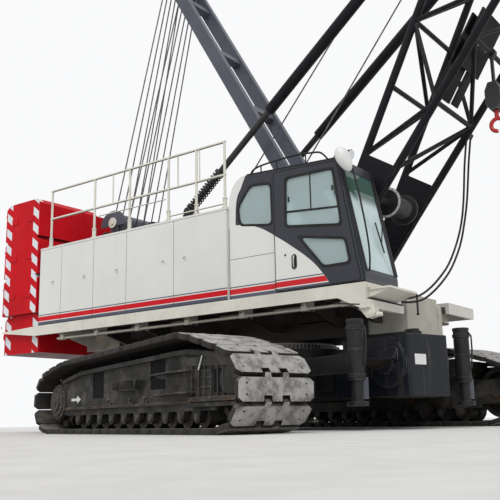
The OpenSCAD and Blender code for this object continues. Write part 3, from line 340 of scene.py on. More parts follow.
# %% Floor
FLOOR_R = 90.0
FADE_FROM, FADE_TO = 14.0, 60.0
FLOOR_FAR = (0.86, 0.86, 0.86)
floor_mesh = bpy.data.meshes.new("floor")
grid = bmesh.new()
bmesh.ops.create_circle(grid, cap_ends=True, radius=FLOOR_R, segments=96)
grid.to_mesh(floor_mesh)
grid.free()
floor = bpy.data.objects.new("floor", floor_mesh)
scene.collection.objects.link(floor)
floor_paint, shader = blank("floor_pale", (0.62, 0.61, 0.59), 0.9)
far = add(floor_paint, "ShaderNodeVectorMath", operation="LENGTH")
link(floor_paint, place(floor_paint), far.inputs[0])
fade = ramp(floor_paint, far.outputs["Value"], FADE_FROM, FADE_TO)
grain = noise(floor_paint, place(floor_paint), 2.2, 0.3, 0.7)
floor_near = blend_colour(floor_paint, grain, (0.58, 0.57, 0.55), (0.64, 0.63, 0.61))
link(floor_paint, blend_colour(floor_paint, fade, floor_near, FLOOR_FAR), shader.inputs["Base Color"])
floor_mesh.materials.append(floor_paint)
print("floor radius", FLOOR_R)

# %% [markdown]
# ## Paint that has been outdoors
# New paint is one colour, and a machine that works has three layers over it: a slow change of tone,
# dust that settles on what looks up, and edges rubbed down to primer or steel. One function mixes
# these in the same order for every paint, so the whole crane ages in the same way, and each paint
# only says how much it has of each. Dust uses the surface's own normal, because dust lies on top.

# %% Aged paint
DUST = (0.40, 0.36, 0.30)
STEEL = (0.42, 0.41, 0.39)
# Near black painted shade for the inside of the frame and for faces that look down.
SHADE_BLACK = (0.020, 0.016, 0.012)
EDGE = 0.005
SLABS_FROM = (-3.32, -3.30)


def inside_of(mat, at, front, half, top):
    """1 behind a length, within a width and below a height, up to where the slabs begin: the
    inside of the frame, which is darkened as painted shade."""
    length, across, height = parts_of(mat, at)
    behind = step(mat, length, front + 0.02, front - 0.02)
    within = step(mat, maths(mat, "ABSOLUTE", across), half + EDGE, half - EDGE)
    below = step(mat, height, top + EDGE, top - EDGE)
    return times(mat, behind, within, below, step(mat, length, *SLABS_FROM))


def aged(name, colour, rough=0.35, tone=0.10, dust=0.25, worn=0.0, worn_to=STEEL, coat=0.25,
         metal=0.0, streaks=0.0, base=None, grain=0.0, shade_below=0.0, hidden=None, shade_below_colour=SHADE_BLACK, shine=SHINE):
    """Paint with slow tone changes, rain streaks, rubbed edges, dust on top and painted shade underneath.

    base draws other colours in place of the plain one, and hidden names the zone of inside_of, which gets
    painted shade.
    """
    mat, shader = blank(name, colour, rough, metal=metal, coat=coat)
    shader.inputs["Specular IOR Level"].default_value = shine
    at = place(mat)
    slow = noise(mat, at, 1.7, 0.32, 0.68)
    if base is None:
        darker = tuple(c * (1 - tone) for c in colour)
        lighter = tuple(min(1, c * (1 + tone * 0.5)) for c in colour)
        base = blend_colour(mat, slow, darker, lighter)
    else:
        base = base(mat, at)
    if streaks:
        runs = noise(mat, at, 1.0, 0.52, 0.80, stretch=(9, 9, 0.9))
        runs = times(mat, runs, streaks)
        base = blend_colour(mat, runs, base, tuple(c * 0.5 for c in DUST))
    if worn:
        edge = worn_edges(mat, 0.012, 0.90, 0.985)
        patchy = noise(mat, at, 14.0, 0.35, 0.62)
        edge = times(mat, edge, patchy, worn)
        base = blend_colour(mat, edge, base, worn_to)
    up = part_of(mat, add(mat, "ShaderNodeTexCoord").outputs["Normal"], 2)
    lies = ramp(mat, up, 0.15, 0.95)
    spots = noise(mat, at, 5.0, 0.28, 0.72, detail=6.0)
    film = times(mat, maths(mat, "ADD", lies, 0.18), times(mat, spots, dust))
    base = blend_colour(mat, film, base, DUST)
    # Faces that look down are darkened as painted shade, and the inside of the frame goes near black, also
    # painted shade.
    if shade_below:
        below = times(mat, step(mat, up, -0.25, -0.85), shade_below)
        if hidden:
            front = hidden[0]
            below = times(mat, below, step(mat, part_of(mat, at, 0), front + 0.04, front))
        base = blend_colour(mat, below, base, shade_below_colour)
        if hidden:
            dark = times(mat, inside_of(mat, at, *hidden), shade_below)
            base = blend_colour(mat, dark, base, SHADE_BLACK)
    link(mat, base, shader.inputs["Base Color"])
    rough_out = maths(mat, "ADD", times(mat, film, 0.45), times(mat, slow, 0.08))
    link(mat, maths(mat, "ADD", rough_out, rough), shader.inputs["Roughness"])
    if grain:
        bump(mat, shader, noise(mat, at, 60.0, 0.2, 0.8, detail=3.0), grain, 0.003)
    return mat

# %% [markdown]
# ## The paints
# Each paint says its colour and how much of each layer it carries. Paint that is often touched or
# walked on is worn, what looks down or lies under the house gets painted shade, and rubber and
# plastic keep a grain.

# %% Paints
def dress(finish, *names):
    """Gives some nodes of the crane their finish."""
    for name in names:
        mesh = nodes[name].data
        mesh.materials.clear()
        mesh.materials.append(finish)


# The deck's faces that look down turn brown: painted shade.
cream = aged("cream_paint", (0.70, 0.68, 0.60), rough=0.42, dust=0.30, streaks=0.12, coat=0.1,
             shade_below=0.96, hidden=(2.53, 1.40, 1.842), shade_below_colour=(0.105, 0.090, 0.066))
frame_cream = aged("frame_cream", (0.46, 0.445, 0.375), rough=0.5, tone=0.2, dust=0.40, streaks=0.35,
                   worn=0.35, coat=0.0, shade_below=0.98, hidden=(1.95, 1.0, 1.86))
black = aged("black_paint", (0.010, 0.010, 0.012), rough=0.42, tone=0.25, dust=0.12, worn=0.3,
             coat=0.05, shade_below=0.9)
boom_black = aged("boom_black", (0.008, 0.008, 0.011), rough=0.40, tone=0.2, dust=0.04, worn=0.2,
                  coat=0.0, shine=0.14)
mast_blue = aged("mast_blue_grey", (0.075, 0.080, 0.105), rough=0.42, tone=0.12, dust=0.10, worn=0.4,
                 coat=0.1)
navy = aged("weight_navy", (0.008, 0.010, 0.016), rough=0.40, tone=0.2, dust=0.06, worn=0.5,
            coat=0.05, shine=0.2, streaks=0.3, shade_below=0.9)
engine_grey = aged("engine_grey", (0.16, 0.16, 0.17), rough=0.5, dust=0.3)
dark_steel = aged("dark_steel", (0.035, 0.035, 0.038), rough=0.42, metal=0.4, dust=0.18, worn=0.6, coat=0.0)
winch_grey = aged("winch_grey", (0.50, 0.50, 0.47), rough=0.42, dust=0.25, worn=0.5)
hook_red = aged("hook_red", (0.50, 0.018, 0.018), rough=0.35, dust=0.12, worn=0.5, coat=0.3)
ring_steel = aged("ring_steel", (0.20, 0.19, 0.18), rough=0.38, metal=0.7, dust=0.30, coat=0.0)
white_plastic = aged("white_shell", (0.74, 0.74, 0.72), rough=0.30, dust=0.10, coat=0.3)
dark_plastic = aged("dark_plastic", (0.03, 0.03, 0.033), rough=0.55, dust=0.10, coat=0.0, grain=0.3)
print("paints:", len(bpy.data.materials))

# %% [markdown]
# ## The undercarriage: dry dirt, rust and bright shoes
# Track shoes are never painted for long. Stones polish their tops to a pale mottled steel, and
# their sides stay dark with dirt. The side frames are black under dry grey dirt, and a stripe of
# orange rust runs along the bottom rail, where the rollers throw water. Height picks the rust, and
# noise breaks it up.

# %% Dirt and worn steel
SWING = math.radians(-16)
RUST_LOW = (0.36, 0.39)
RUST_HIGH = (0.46, 0.42)


def dirty_frame(mat, at):
    """Black paint under caked dirt, with rust along the bottom rail."""
    slow = noise(mat, at, 2.2, 0.30, 0.70)
    base = blend_colour(mat, slow, (0.009, 0.009, 0.009), (0.030, 0.029, 0.027))
    caked = noise(mat, at, 2.6, 0.48, 0.62, detail=8.0)
    base = blend_colour(mat, times(mat, caked, 0.6), base, (0.105, 0.098, 0.085))
    height = part_of(mat, at, 2)
    rail = times(mat, step(mat, height, *RUST_HIGH), ramp(mat, height, *RUST_LOW))
    rusty = times(mat, rail, noise(mat, at, 5.0, 0.52, 0.66, stretch=(1, 1, 3)))
    return blend_colour(mat, times(mat, rusty, 0.7), base, (0.16, 0.065, 0.025))


def worn_shoe(mat, at):
    """Pale mottled steel that turns dark on the sides of a shoe."""
    patches = noise(mat, at, 6.0, 0.35, 0.65, detail=6.0)
    pale = blend_colour(mat, patches, (0.23, 0.215, 0.195), (0.44, 0.42, 0.385))
    scratches = noise(mat, at, 30.0, 0.55, 0.75, stretch=(1, 4, 1))
    pale = blend_colour(mat, times(mat, scratches, 0.5), pale, (0.55, 0.54, 0.51))
    rust = noise(mat, at, 3.0, 0.56, 0.74)
    pale = blend_colour(mat, times(mat, rust, 0.45), pale, (0.20, 0.12, 0.07))
    side = maths(mat, "ABSOLUTE", turned_y(mat))
    return blend_colour(mat, ramp(mat, side, 0.55, 0.85), pale, (0.055, 0.050, 0.044))


def turned_y(mat):
    """How far a face of the turned undercarriage looks sideways."""
    normal = add(mat, "ShaderNodeTexCoord").outputs["Normal"]
    dot = add(mat, "ShaderNodeVectorMath", operation="DOT_PRODUCT")
    link(mat, normal, dot.inputs[0])
    dot.inputs[1].default_value = (-math.sin(SWING), math.cos(SWING), 0)
    return dot.outputs["Value"]


frame_dirt = aged("frame_dirt", (0.05, 0.05, 0.05), rough=0.66, dust=0.30, shade_below=0.9, worn=0.25,
                  coat=0.0, base=dirty_frame, grain=0.4)
shoe_steel = aged("shoe_steel", (0.35, 0.34, 0.32), rough=0.48, dust=0.20, metal=0.35, coat=0.0,
                  base=worn_shoe, grain=0.5)
wheel_steel = aged("wheel_steel", (0.050, 0.047, 0.043), rough=0.62, dust=0.55, metal=0.1, worn=0.5,
                   coat=0.0, grain=0.5, shade_below=0.7)
dress(frame_dirt, "side_frame_right", "side_frame_left")
dress(shoe_steel, "track_right", "track_left")
dress(wheel_steel, "idlers", "drive_wheels", "bottom_rollers")
dress(black, "carbody", "carbody_jacks")
dress(navy, "carbody_weights")
dress(ring_steel, "slewing_ring")
print("undercarriage dressed")

# %% [markdown]
# ## House panels and their stripes
# Three bands run along the whole side: a thin slate line, a broad red band and a broad slate band.
# They were masked and sprayed, so their edges are sharp and level. Object Z is the height above
# the ground at rest, so each band is a test on Z, and a second test on Y keeps the bands on the
# outer faces. The same masks are used on the doors and on the cab, so the bands line up.

# %% Stripes
PALE = (0.73, 0.73, 0.70)
RED = (0.60, 0.003, 0.012)
SLATE = (0.085, 0.092, 0.125)
THIN_LINE = (2.078, 2.095)
RED_BAND = (1.980, 2.060)
SLATE_BAND = (1.900, 1.966)
HALF_W = -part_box("door_right_1")[0].y


def between(mat, value, low, high, soft=0.0015):
    """1 where a value lies between low and high, with a hair of softness."""
    rising = step(mat, value, low - soft, low + soft)
    falling = step(mat, value, high + soft, high - soft)
    return times(mat, rising, falling)


def banded(mat, at, ground, only=None, face=HALF_W):
    """Lays the three bands over a ground colour, on the outer faces."""
    _, across, height = parts_of(mat, at)
    outer = step(mat, maths(mat, "ABSOLUTE", across), face - 0.012, face - 0.010)
    if only is not None:
        outer = times(mat, outer, only)
    for band, paint in ((THIN_LINE, SLATE), (RED_BAND, RED), (SLATE_BAND, SLATE)):
        here = times(mat, between(mat, height, *band), outer)
        ground = blend_colour(mat, here, ground, paint)
    return ground


def house_colours(mat, at):
    """The house's pale grey with its three bands."""
    slow = noise(mat, at, 1.1, 0.3, 0.7)
    ground = blend_colour(mat, slow, tuple(c * 0.95 for c in PALE), PALE)
    return banded(mat, at, ground)


house_paint = aged("house_paint", PALE, rough=0.34, dust=0.06, streaks=0.05, coat=0.0,
                   base=house_colours, shade_below=0.9, shine=0.14)
dress(house_paint, *[name for name in nodes if name.startswith(("house_", "door_"))])
dress(cream, "deck_right", "deck_left", "guard_rails")
dress(frame_cream, "centre_frame")
dress(engine_grey, "engine")
print("bands at", THIN_LINE, RED_BAND, SLATE_BAND)

# %% [markdown]
# ## The cab's two colours
# The cab is charcoal above and the house's pale grey below, and the line between them is one long
# curve that falls towards the front. A Float Curve node holds such a line well: it is drawn once
# as height over length, and a test of Z against it gives a clean mask. A second, short curve gives
# the rear edge, as length over height.

# %% Cab paint
CHARCOAL = (0.030, 0.032, 0.042)
CAB_LINE = [(0.30, 3.03), (0.47, 3.024), (0.78, 2.955), (1.139, 2.763), (1.50, 2.518), (1.805, 2.272),
            (1.968, 2.086), (2.038, 1.987), (2.10, 1.90), (2.70, 1.90)]
CAB_REAR = [(1.90, 0.429), (3.02, 0.429), (3.114, 0.429), (3.369, 0.446), (3.592, 0.541),
            (3.778, 0.635), (3.90, 0.70)]
LINE_SOFT = 0.004
SHELL_INSET = 0.048


def drawn(mat, value, points):
    """A drawn curve of one value over another, in metres, held in a Float Curve node."""
    xs = [p[0] for p in points]
    ys = [p[1] for p in points]
    length, height = xs[-1] - xs[0], max(ys) - min(ys) + 1e-6
    node = add(mat, "ShaderNodeFloatCurve")
    curve = node.mapping.curves[0]
    spots = [((x - xs[0]) / length, (y - min(ys)) / height) for x, y in points]
    curve.points[0].location = spots[0]
    curve.points[1].location = spots[-1]
    for spot in spots[1:-1]:
        curve.points.new(*spot)
    for point in curve.points:
        point.handle_type = "AUTO"
    node.mapping.update()
    link(mat, step(mat, value, xs[0], xs[-1]), node.inputs["Value"])
    scaled = times(mat, node.outputs[0], height)
    return maths(mat, "ADD", scaled, min(ys))

# %% [markdown]
# ## The inside of the cab
# The shell and the door are single solids, so the same material covers their outer skin and the
# faces that look inwards. Planes tell them apart: each one lies a few millimetres inside the skin,
# and what is on the inner side of all of them is lining. The roof and the windscreen slope, so
# their planes are a height plus a share of the length, and a length plus a share of the height.

# %% Lining and cab colours
LINING = (0.30, 0.335, 0.32)
ROOF_FALL, ROOF_AT = 0.0552, 3.795
SCREEN_FALL, SCREEN_AT = 0.1988, 2.975
BACK_X, FLOOR_Z, INNER_Y = 0.320, 1.940, -0.890
HAIR = 0.001


def lined(mat, at, skin):
    """1 on the faces that look into the cab, whose outer skin lies at -skin."""
    length, across, height = parts_of(mat, at)
    roof = maths(mat, "ADD", times(mat, length, ROOF_FALL), height)
    screen = maths(mat, "ADD", times(mat, height, SCREEN_FALL), length)
    return times(mat, step(mat, roof, ROOF_AT + HAIR, ROOF_AT - HAIR),
                 step(mat, screen, SCREEN_AT + HAIR, SCREEN_AT - HAIR),
                 step(mat, length, BACK_X - HAIR, BACK_X + HAIR),
                 step(mat, height, FLOOR_Z - HAIR, FLOOR_Z + HAIR),
                 step(mat, across, -skin - HAIR, -skin + HAIR),
                 step(mat, across, INNER_Y + HAIR, INNER_Y - HAIR))


def cab_colours(mat, at, skin):
    """Charcoal over pale grey with the bands, and lining inside."""
    length, _, height = parts_of(mat, at)
    over_line = maths(mat, "SUBTRACT", height, drawn(mat, length, CAB_LINE))
    past_rear = maths(mat, "SUBTRACT", length, drawn(mat, height, CAB_REAR))
    dark = times(mat, *[step(mat, over, -LINE_SOFT, LINE_SOFT) for over in (over_line, past_rear)])
    pale = maths(mat, "SUBTRACT", 1.0, dark)
    ground = blend_colour(mat, dark, PALE, CHARCOAL)
    ground = banded(mat, at, ground, only=pale, face=HALF_W - SHELL_INSET)
    return blend_colour(mat, lined(mat, at, skin), ground, LINING)


for name, skin in (("cab_shell", 1.768), ("cab_door", 1.806)):
    cab_paint = aged(name + "_paint", CHARCOAL, rough=0.36, dust=0.06, coat=0.1,
                     base=partial(cab_colours, skin=skin))
    dress(cab_paint, name)
print("cab line from", CAB_LINE[1], "to", CAB_LINE[-2])

# %% [markdown]
# ## Glass
# Safety glass in a cab is thin, flat and faintly green, and outdoors it mirrors a bright sky. So
# the shader lets only part of the light through: more at the sides, and less on the panes that
# face along the crane, which mirror more of the sky from here. Where less light passes, more of the
# pale base colour shows, and that pale base is a painted reflection of the sky. The tint sits in the
# base colour with it.
# The windscreen carries a darker green band along its top, as sun visor, which is a test on Z.

# %% Cab glass
VISOR_Z = 3.18


CLEAR = 0.6
CLEAR_SIDE = (0.62, 0.62, 0.62)
CLEAR_AHEAD = (0.30, 0.30, 0.30)


def tinted(name, tint_and_sky_sheen, visor):
    """Glass with a smear of dust, a pale base that is in part a painted reflection of the sky, and a darker
    band along the top of the windscreen.
    """
    mat, shader = blank(name, tint_and_sky_sheen, 0.02)
    shader.inputs["Transmission Weight"].default_value = CLEAR
    shader.inputs["IOR"].default_value = 1.45
    at = place(mat)
    sideways = part_of(mat, add(mat, "ShaderNodeTexCoord").outputs["Normal"], 0)
    # The panes ahead let less light through, so their pale base shows more: a painted reflection of the sky.
    facing = step(mat, maths(mat, "ABSOLUTE", sideways), 0.5, 0.8)
    clear = blend_colour(mat, facing, CLEAR_SIDE, CLEAR_AHEAD)
    link(mat, clear, shader.inputs["Transmission Weight"])
    smear = noise(mat, at, 3.0, 0.45, 0.8, stretch=(1, 1, 0.5))
    link(mat, times(mat, smear, 0.10), shader.inputs["Roughness"])
    ground = blend_colour(mat, times(mat, smear, 0.25), tint_and_sky_sheen, tuple(c * 0.9 for c in tint_and_sky_sheen))
    high = ramp(mat, part_of(mat, at, 2), VISOR_Z - 0.12, VISOR_Z + 0.05)
    front = ramp(mat, part_of(mat, at, 0), 2.15, 2.20)
    ground = blend_colour(mat, times(mat, high, front), ground, visor)
    link(mat, ground, shader.inputs["Base Color"])
    return mat


glass = tinted("cab_glass_green", (0.70, 0.84, 0.84), visor=(0.08, 0.16, 0.13))
dress(glass, "cab_glass", "cab_door_glass")
print("glass dressed")

# %% [markdown]
# ## Counterweight slabs with corner tape
# The slabs are red. Reflective tape marks their vertical corner edges with slanted white blocks.
# The blocks repeat with height, so the fraction of (Z + a share of X) makes them, and two tests
# on X keep them within a hand's width of each corner. They are plain colour, with no words.

# %% Slab paint
SLAB_RED = (0.60, 0.004, 0.012)
TAPE = (0.72, 0.75, 0.78)
SLAB_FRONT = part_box("slab_1")[1].x
SLAB_REAR = SLAB_FRONT - 1.02
TAPE_IN = 0.03
TAPE_W = 0.16
TAPE_STEP = 0.30
TAPE_SLANT = 0.75


def slab_colours(mat, at):
    """Red slabs with slanted blocks of tape near their corners."""
    length, across, height = parts_of(mat, at)
    slow = noise(mat, at, 1.4, 0.3, 0.7)
    ground = blend_colour(mat, slow, tuple(c * 0.80 for c in SLAB_RED), SLAB_RED)
    slant = maths(mat, "ADD", height, times(mat, length, TAPE_SLANT))
    block = step(mat, maths(mat, "FRACT", maths(mat, "DIVIDE", slant, TAPE_STEP)), 0.47, 0.49)
    front = between(mat, length, SLAB_FRONT - TAPE_IN - TAPE_W, SLAB_FRONT - TAPE_IN)
    rear = between(mat, length, SLAB_REAR + TAPE_IN, SLAB_REAR + TAPE_IN + TAPE_W)
    outer = step(mat, maths(mat, "ABSOLUTE", across), HALF_W - 0.105, HALF_W - 0.10)
    return blend_colour(mat, times(mat, maths(mat, "ADD", front, rear), outer, block), ground, TAPE)


slab_red = aged("slab_red", SLAB_RED, rough=0.38, dust=0.06, streaks=0.06, worn=0.35, coat=0.0,
                base=slab_colours, worn_to=(0.25, 0.02, 0.02), shade_below=0.85, shine=0.07)
dress(slab_red, "slab_1", "slab_2", "slab_3", "slab_4")
print("tape step", TAPE_STEP)

# %% [markdown]
# ## The rest of the solids
# What is left is plain: the boom in black, the mast in blue grey, and steel, red or plastic for the
# small parts. The last line of the cell lists any node that has no finish, and the list must be empty.

# %% The other nodes
dress(boom_black, "boom_base", "boom_top", "boom_tip", "backstop_tubes")
dress(mast_blue, "mast", "rope_block")
dress(dark_steel, "mast_head", "pendants", "backstop_rods", "hook_block", "boom_winch")
dress(winch_grey, "winch_front", "winch_rear", "winch_boom")
dress(hook_red, "hook")
dress(dark_plastic, "cab_console", "cab_seat")
dress(white_plastic, "cab_mirror")
bare = [name for name in nodes if not nodes[name].data.materials]
print("nodes left bare:", bare)

# %% [markdown]
# # The pieces
# The solids end where a rigger and a painter begin. Each piece below is built in a bmesh, a mesh
# that code can grow face by face. Four helpers cover most of it: a rod between two points, a block
# between two corners, an outline pushed to a thickness, and a round tube swept along a path. Frame
# functions turn straight coordinates into the crane's own, so that parts of the turned
# undercarriage, of the raised boom and of the mast are drawn as if they lay level.

# %% Frames of the moving groups
BOOM_FOOT = Vector((1.10, 0, 1.985))
BOOM_ANGLE = math.radians(57.5)
MAST_FOOT = Vector((1.56, 0, 2.15))
MAST_ANGLE = math.radians(119.6)
MAST_LENGTH = 7.74
STOP_SEAT = Vector((-1.44, 0, 3.78))
STOP_ANGLE = math.radians(38.2)


def raised(foot, angle):
    """A frame along a raised member: length from its foot, Y across, height above its axis."""
    along = Vector((math.cos(angle), 0, math.sin(angle)))
    above = Vector((-math.sin(angle), 0, math.cos(angle)))
    return lambda s, y, h: foot + along * s + above * h + Vector((0, y, 0))


def plain(x, y, z):
    """The crane's own frame."""
    return Vector((x, y, z))


def under(x, y, z):
    """A point given in the undercarriage's own frame."""
    return Vector((x * math.cos(SWING) - y * math.sin(SWING), x * math.sin(SWING) + y * math.cos(SWING), z))


boom_at = raised(BOOM_FOOT, BOOM_ANGLE)
mast_at = raised(MAST_FOOT, MAST_ANGLE)
stop_at = raised(STOP_SEAT, STOP_ANGLE)
print("mast head at", [round(v, 2) for v in mast_at(MAST_LENGTH, 0, 0)])

# %% [markdown]
# ## Drawing solids
# A round bar is a cone primitive turned onto the line between two points. Everything else grows
# from an outline: its points are laid down twice, the second time pushed along a vector, and faces
# close the two copies and the sides between them.

# %% Helpers for forms
def add_rod(form, a, b, r, sides=16, r_end=None):
    """A round bar from a to b; r_end makes it taper."""
    a, b = Vector(a), Vector(b)
    turn = (b - a).to_track_quat("Z", "Y").to_matrix().to_4x4()
    made = bmesh.ops.create_cone(form, cap_ends=True, segments=sides, radius1=r,
                                 radius2=r if r_end is None else r_end, depth=(b - a).length,
                                 matrix=Matrix.Translation((a + b) / 2) @ turn)
    return made["verts"]


def add_outline(form, points, push):
    """A flat outline of points, pushed along a vector into a solid."""
    low = [form.verts.new(p) for p in points]
    high = [form.verts.new(Vector(p) + Vector(push)) for p in points]
    faces = [form.faces.new(low), form.faces.new(high)]
    for i in range(len(points)):
        j = (i + 1) % len(points)
        faces.append(form.faces.new((low[i], low[j], high[j], high[i])))
    bmesh.ops.recalc_face_normals(form, faces=faces)
    return low + high


def add_upright(form, outline, y, push):
    """An outline in X and Z, set upright at one Y and pushed along Y."""
    return add_outline(form, [(x, y, z) for x, z in outline], (0, push, 0))


def oblong(x0, z0, x1, z1):
    """The four corners of a rectangle."""
    return [(x0, z0), (x1, z0), (x1, z1), (x0, z1)]


def add_block(form, lo, hi, at=plain):
    """A block between two corners, in any frame."""
    base = [at(x, y, lo[2]) for x, y in oblong(lo[0], lo[1], hi[0], hi[1])]
    return add_outline(form, base, at(lo[0], lo[1], hi[2]) - at(*lo))


def join_rings(form, pairs, sides):
    """The faces between rings of points, given as pairs of neighbours."""
    return [form.faces.new((p[k], p[(k + 1) % sides], q[(k + 1) % sides], q[k]))
            for p, q in pairs for k in range(sides)]


def add_tube(form, path, r, sides=8, closed=False):
    """A round tube along a path, with its rings kept from twisting."""
    path = [Vector(p) for p in path]
    n = len(path)
    ahead = []
    for i in range(n):
        a = path[(i - 1) % n] if closed or i else path[i]
        b = path[(i + 1) % n] if closed or i < n - 1 else path[i]
        ahead.append((b - a).normalized())
    across = ahead[0].orthogonal().normalized()
    rings = []
    for spot, way in zip(path, ahead):
        across = (across - way * across.dot(way)).normalized()
        other = way.cross(across)
        rings.append([form.verts.new(spot + (across * math.cos(a) + other * math.sin(a)) * r)
                      for a in [2 * math.pi * k / sides for k in range(sides)]])
    pairs = list(zip(rings, rings[1:])) + ([(rings[-1], rings[0])] if closed else [])
    faces = join_rings(form, pairs, sides)
    if not closed:
        faces += [form.faces.new(rings[0]), form.faces.new(rings[-1])]
    bmesh.ops.recalc_face_normals(form, faces=faces)

# %% [markdown]
# ## From a form to a piece
# A finished form becomes a mesh, gets its finishes, is shaded smooth except at sharp edges, and has
# its edges rounded by a bevel. Then it is given to a body, which carries it when a joint moves.

# %% Making pieces
def mark(verts, index):
    """Gives the faces round some points another one of the piece's finishes."""
    for face in {f for v in verts for f in v.link_faces}:
        face.material_index = index


def make_object(name, form, finishes):
    """Turns a form into a smooth-shaded object with its finishes."""
    mesh = bpy.data.meshes.new(name)
    form.to_mesh(mesh)
    form.free()
    for finish in finishes:
        mesh.materials.append(finish)
    for face in mesh.polygons:
        face.use_smooth = True
    piece = bpy.data.objects.new(name, mesh)
    scene.collection.objects.link(piece)
    print(name, "faces:", len(mesh.polygons))
    return piece


def finish_piece(name, form, finishes, body, bevel=0.0, smooth=35):
    """Makes a piece of a form: rounds its edges, gives it its finish and lets it ride on a body."""
    piece = make_object(name, form, finishes if isinstance(finishes, list) else [finishes])
    piece.data.set_sharp_from_angle(angle=math.radians(smooth))
    if bevel:
        rounded = piece.modifiers.new("rounded", "BEVEL")
        rounded.width = bevel
        rounded.segments = 2
        rounded.limit_method = "ANGLE"
        rounded.angle_limit = math.radians(40)
        rounded.harden_normals = False
    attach(piece, body)
    return piece

# %% [markdown]
# ## Finishes for the small things
# A few finishes serve many pieces: wire rope, black rubber, which also stands as painted shade in slots
# and holes, bare steel, near black painted shade for an opening, lamp glass and the pale face of a track
# shoe. Rope needs no strands in its mesh at this size: fine noise in its colour and its bump is enough.

# %% Small finishes
def rope_colours(mat, at):
    """Grey wire, darker where grease holds dirt."""
    dirt = noise(mat, at, 9.0, 0.35, 0.7)
    return blend_colour(mat, dirt, (0.10, 0.10, 0.11), (0.22, 0.21, 0.20))


rope_steel = aged("rope_steel", (0.14, 0.14, 0.15), rough=0.45, metal=0.5, dust=0.10, coat=0.0,
                  base=rope_colours, grain=0.6)
# Black rubber; the same finish also serves as painted shade in the deck's slots and the winch ring's holes.
rubber_and_shade = aged("black_rubber_and_shade", (0.012, 0.012, 0.013), rough=0.62, tone=0.2, dust=0.10, coat=0.0, grain=0.2)
bright_steel = aged("bright_steel", (0.46, 0.46, 0.45), rough=0.30, metal=0.85, dust=0.12, coat=0.0)
shoe_dark = aged("shoe_dark", (0.020, 0.019, 0.018), rough=0.75, dust=0.35, coat=0.0, grain=0.5, shade_below=0.8)
# Near black painted shade for the openings of the side frames.
painted_shade_black = aged("painted_shade_black", (0.003, 0.003, 0.003), rough=0.9, tone=0.3, dust=0.02, coat=0.0, grain=0.2)
lamp_glass = aged("lamp_glass", (0.72, 0.74, 0.76), rough=0.08, dust=0.05, coat=0.8, tone=0.05)
for hose in hoses:
    hose.data.materials.append(rubber_and_shade)


def shoe_face_colours(mat, at):
    """The walking face of a shoe: pale, with dark patches and bright chips."""
    slow = noise(mat, at, 1.6, 0.30, 0.70)
    patches = noise(mat, at, 7.0, 0.42, 0.62, detail=8.0)
    pale = blend_colour(mat, slow, (0.30, 0.29, 0.275), (0.42, 0.41, 0.39))
    pale = blend_colour(mat, times(mat, patches, 0.75), pale, (0.10, 0.095, 0.088))
    chips = noise(mat, at, 26.0, 0.60, 0.70, detail=2.0)
    return blend_colour(mat, times(mat, chips, 0.55), pale, (0.52, 0.51, 0.49))


shoe_face = aged("shoe_face", (0.36, 0.35, 0.33), rough=0.62, dust=0.12, coat=0.0,
                 base=shoe_face_colours, grain=0.7)
print("finishes:", len(bpy.data.materials))

# %% [markdown]
# ## The belt's path
# A crawler crane walks on flat cast shoes, each hinged to the next by lugs that reach into notches.
# The belt runs round two end wheels and over two high points, so the path is four circles joined by
# four straight lines. Any distance along the path gives a point, and the shoes are set along it
# at equal steps.

# %% Belt path
BELT = [(-2.5, 0.515, 0.44), (2.5, 0.515, 0.44), (1.68, 0.951, 0.25), (-1.87, 0.822, 0.25)]
SHOES = 44
SHOE_W = 1.12
SHOE_T = 0.075
LUG_Y = 0.133
TRACK_Y = 2.55


def rim(circle, way):
    """The point of a circle where a belt that runs in a direction touches it from below."""
    return Vector((circle[0] + circle[2] * math.sin(way), circle[1] - circle[2] * math.cos(way)))


def belt_runs():
    """The belt as straight runs and arcs: where each starts, its direction, length, circle and turn."""
    ways = []
    for a, b in zip(BELT, BELT[1:] + BELT[:1]):
        gap = math.hypot(b[0] - a[0], b[1] - a[1])
        ways.append(math.atan2(b[1] - a[1], b[0] - a[0]) + math.asin((a[2] - b[2]) / gap))
    runs = []
    for i, way in enumerate(ways):
        nxt = BELT[(i + 1) % 4]
        start, end = rim(BELT[i], way), rim(nxt, way)
        turn = (ways[(i + 1) % 4] - way) % (2 * math.pi)
        runs.append((start, way, (end - start).length, nxt, turn))
    return runs


RUNS = belt_runs()
BELT_LENGTH = sum(length + circle[2] * turn for _, _, length, circle, turn in RUNS)
PITCH = BELT_LENGTH / SHOES
FIRST = 5.0 + BELT[1][2] * math.radians(32)


def belt_at(s):
    """Point of the belt's inner face at a distance along it."""
    s %= BELT_LENGTH
    for start, way, length, circle, turn in RUNS:
        if s <= length:
            return start + Vector((math.cos(way), math.sin(way))) * s
        s -= length
        if s <= circle[2] * turn:
            return rim(circle, way + s / circle[2])
        s -= circle[2] * turn
    return RUNS[0][0]

# %% [markdown]
# ## Track shoes
# One shoe is drawn as an outline with its corners cut, two lugs and two notches, and its edges are
# rounded as a casting's are. It is then copied along the path. The walking face gets the pale worn
# finish, and the rest stays dark with dirt.

# %% Track shoes
def shoe_outline(length):
    """One shoe seen from below: X along the belt, Y across it."""
    rear, front, half = 0.004, length - 0.004, SHOE_W / 2
    lug_l, lug, slot = 0.058, 0.049, 0.062
    deep = rear + lug_l + 0.012
    tip = front + lug_l
    points = [(rear, half - 0.065), (rear + 0.045, half), (front - 0.045, half), (front, half - 0.065)]
    for y in (LUG_Y, -LUG_Y):
        points += [(front, y + lug), (tip, y + lug - 0.008), (tip, y - lug + 0.008), (front, y - lug)]
    points += [(front, -half + 0.065), (front - 0.045, -half), (rear + 0.045, -half), (rear, -half + 0.065)]
    for y in (-LUG_Y, LUG_Y):
        points += [(rear, y - slot), (deep, y - slot + 0.006), (deep, y + slot - 0.006), (rear, y + slot)]
    return points


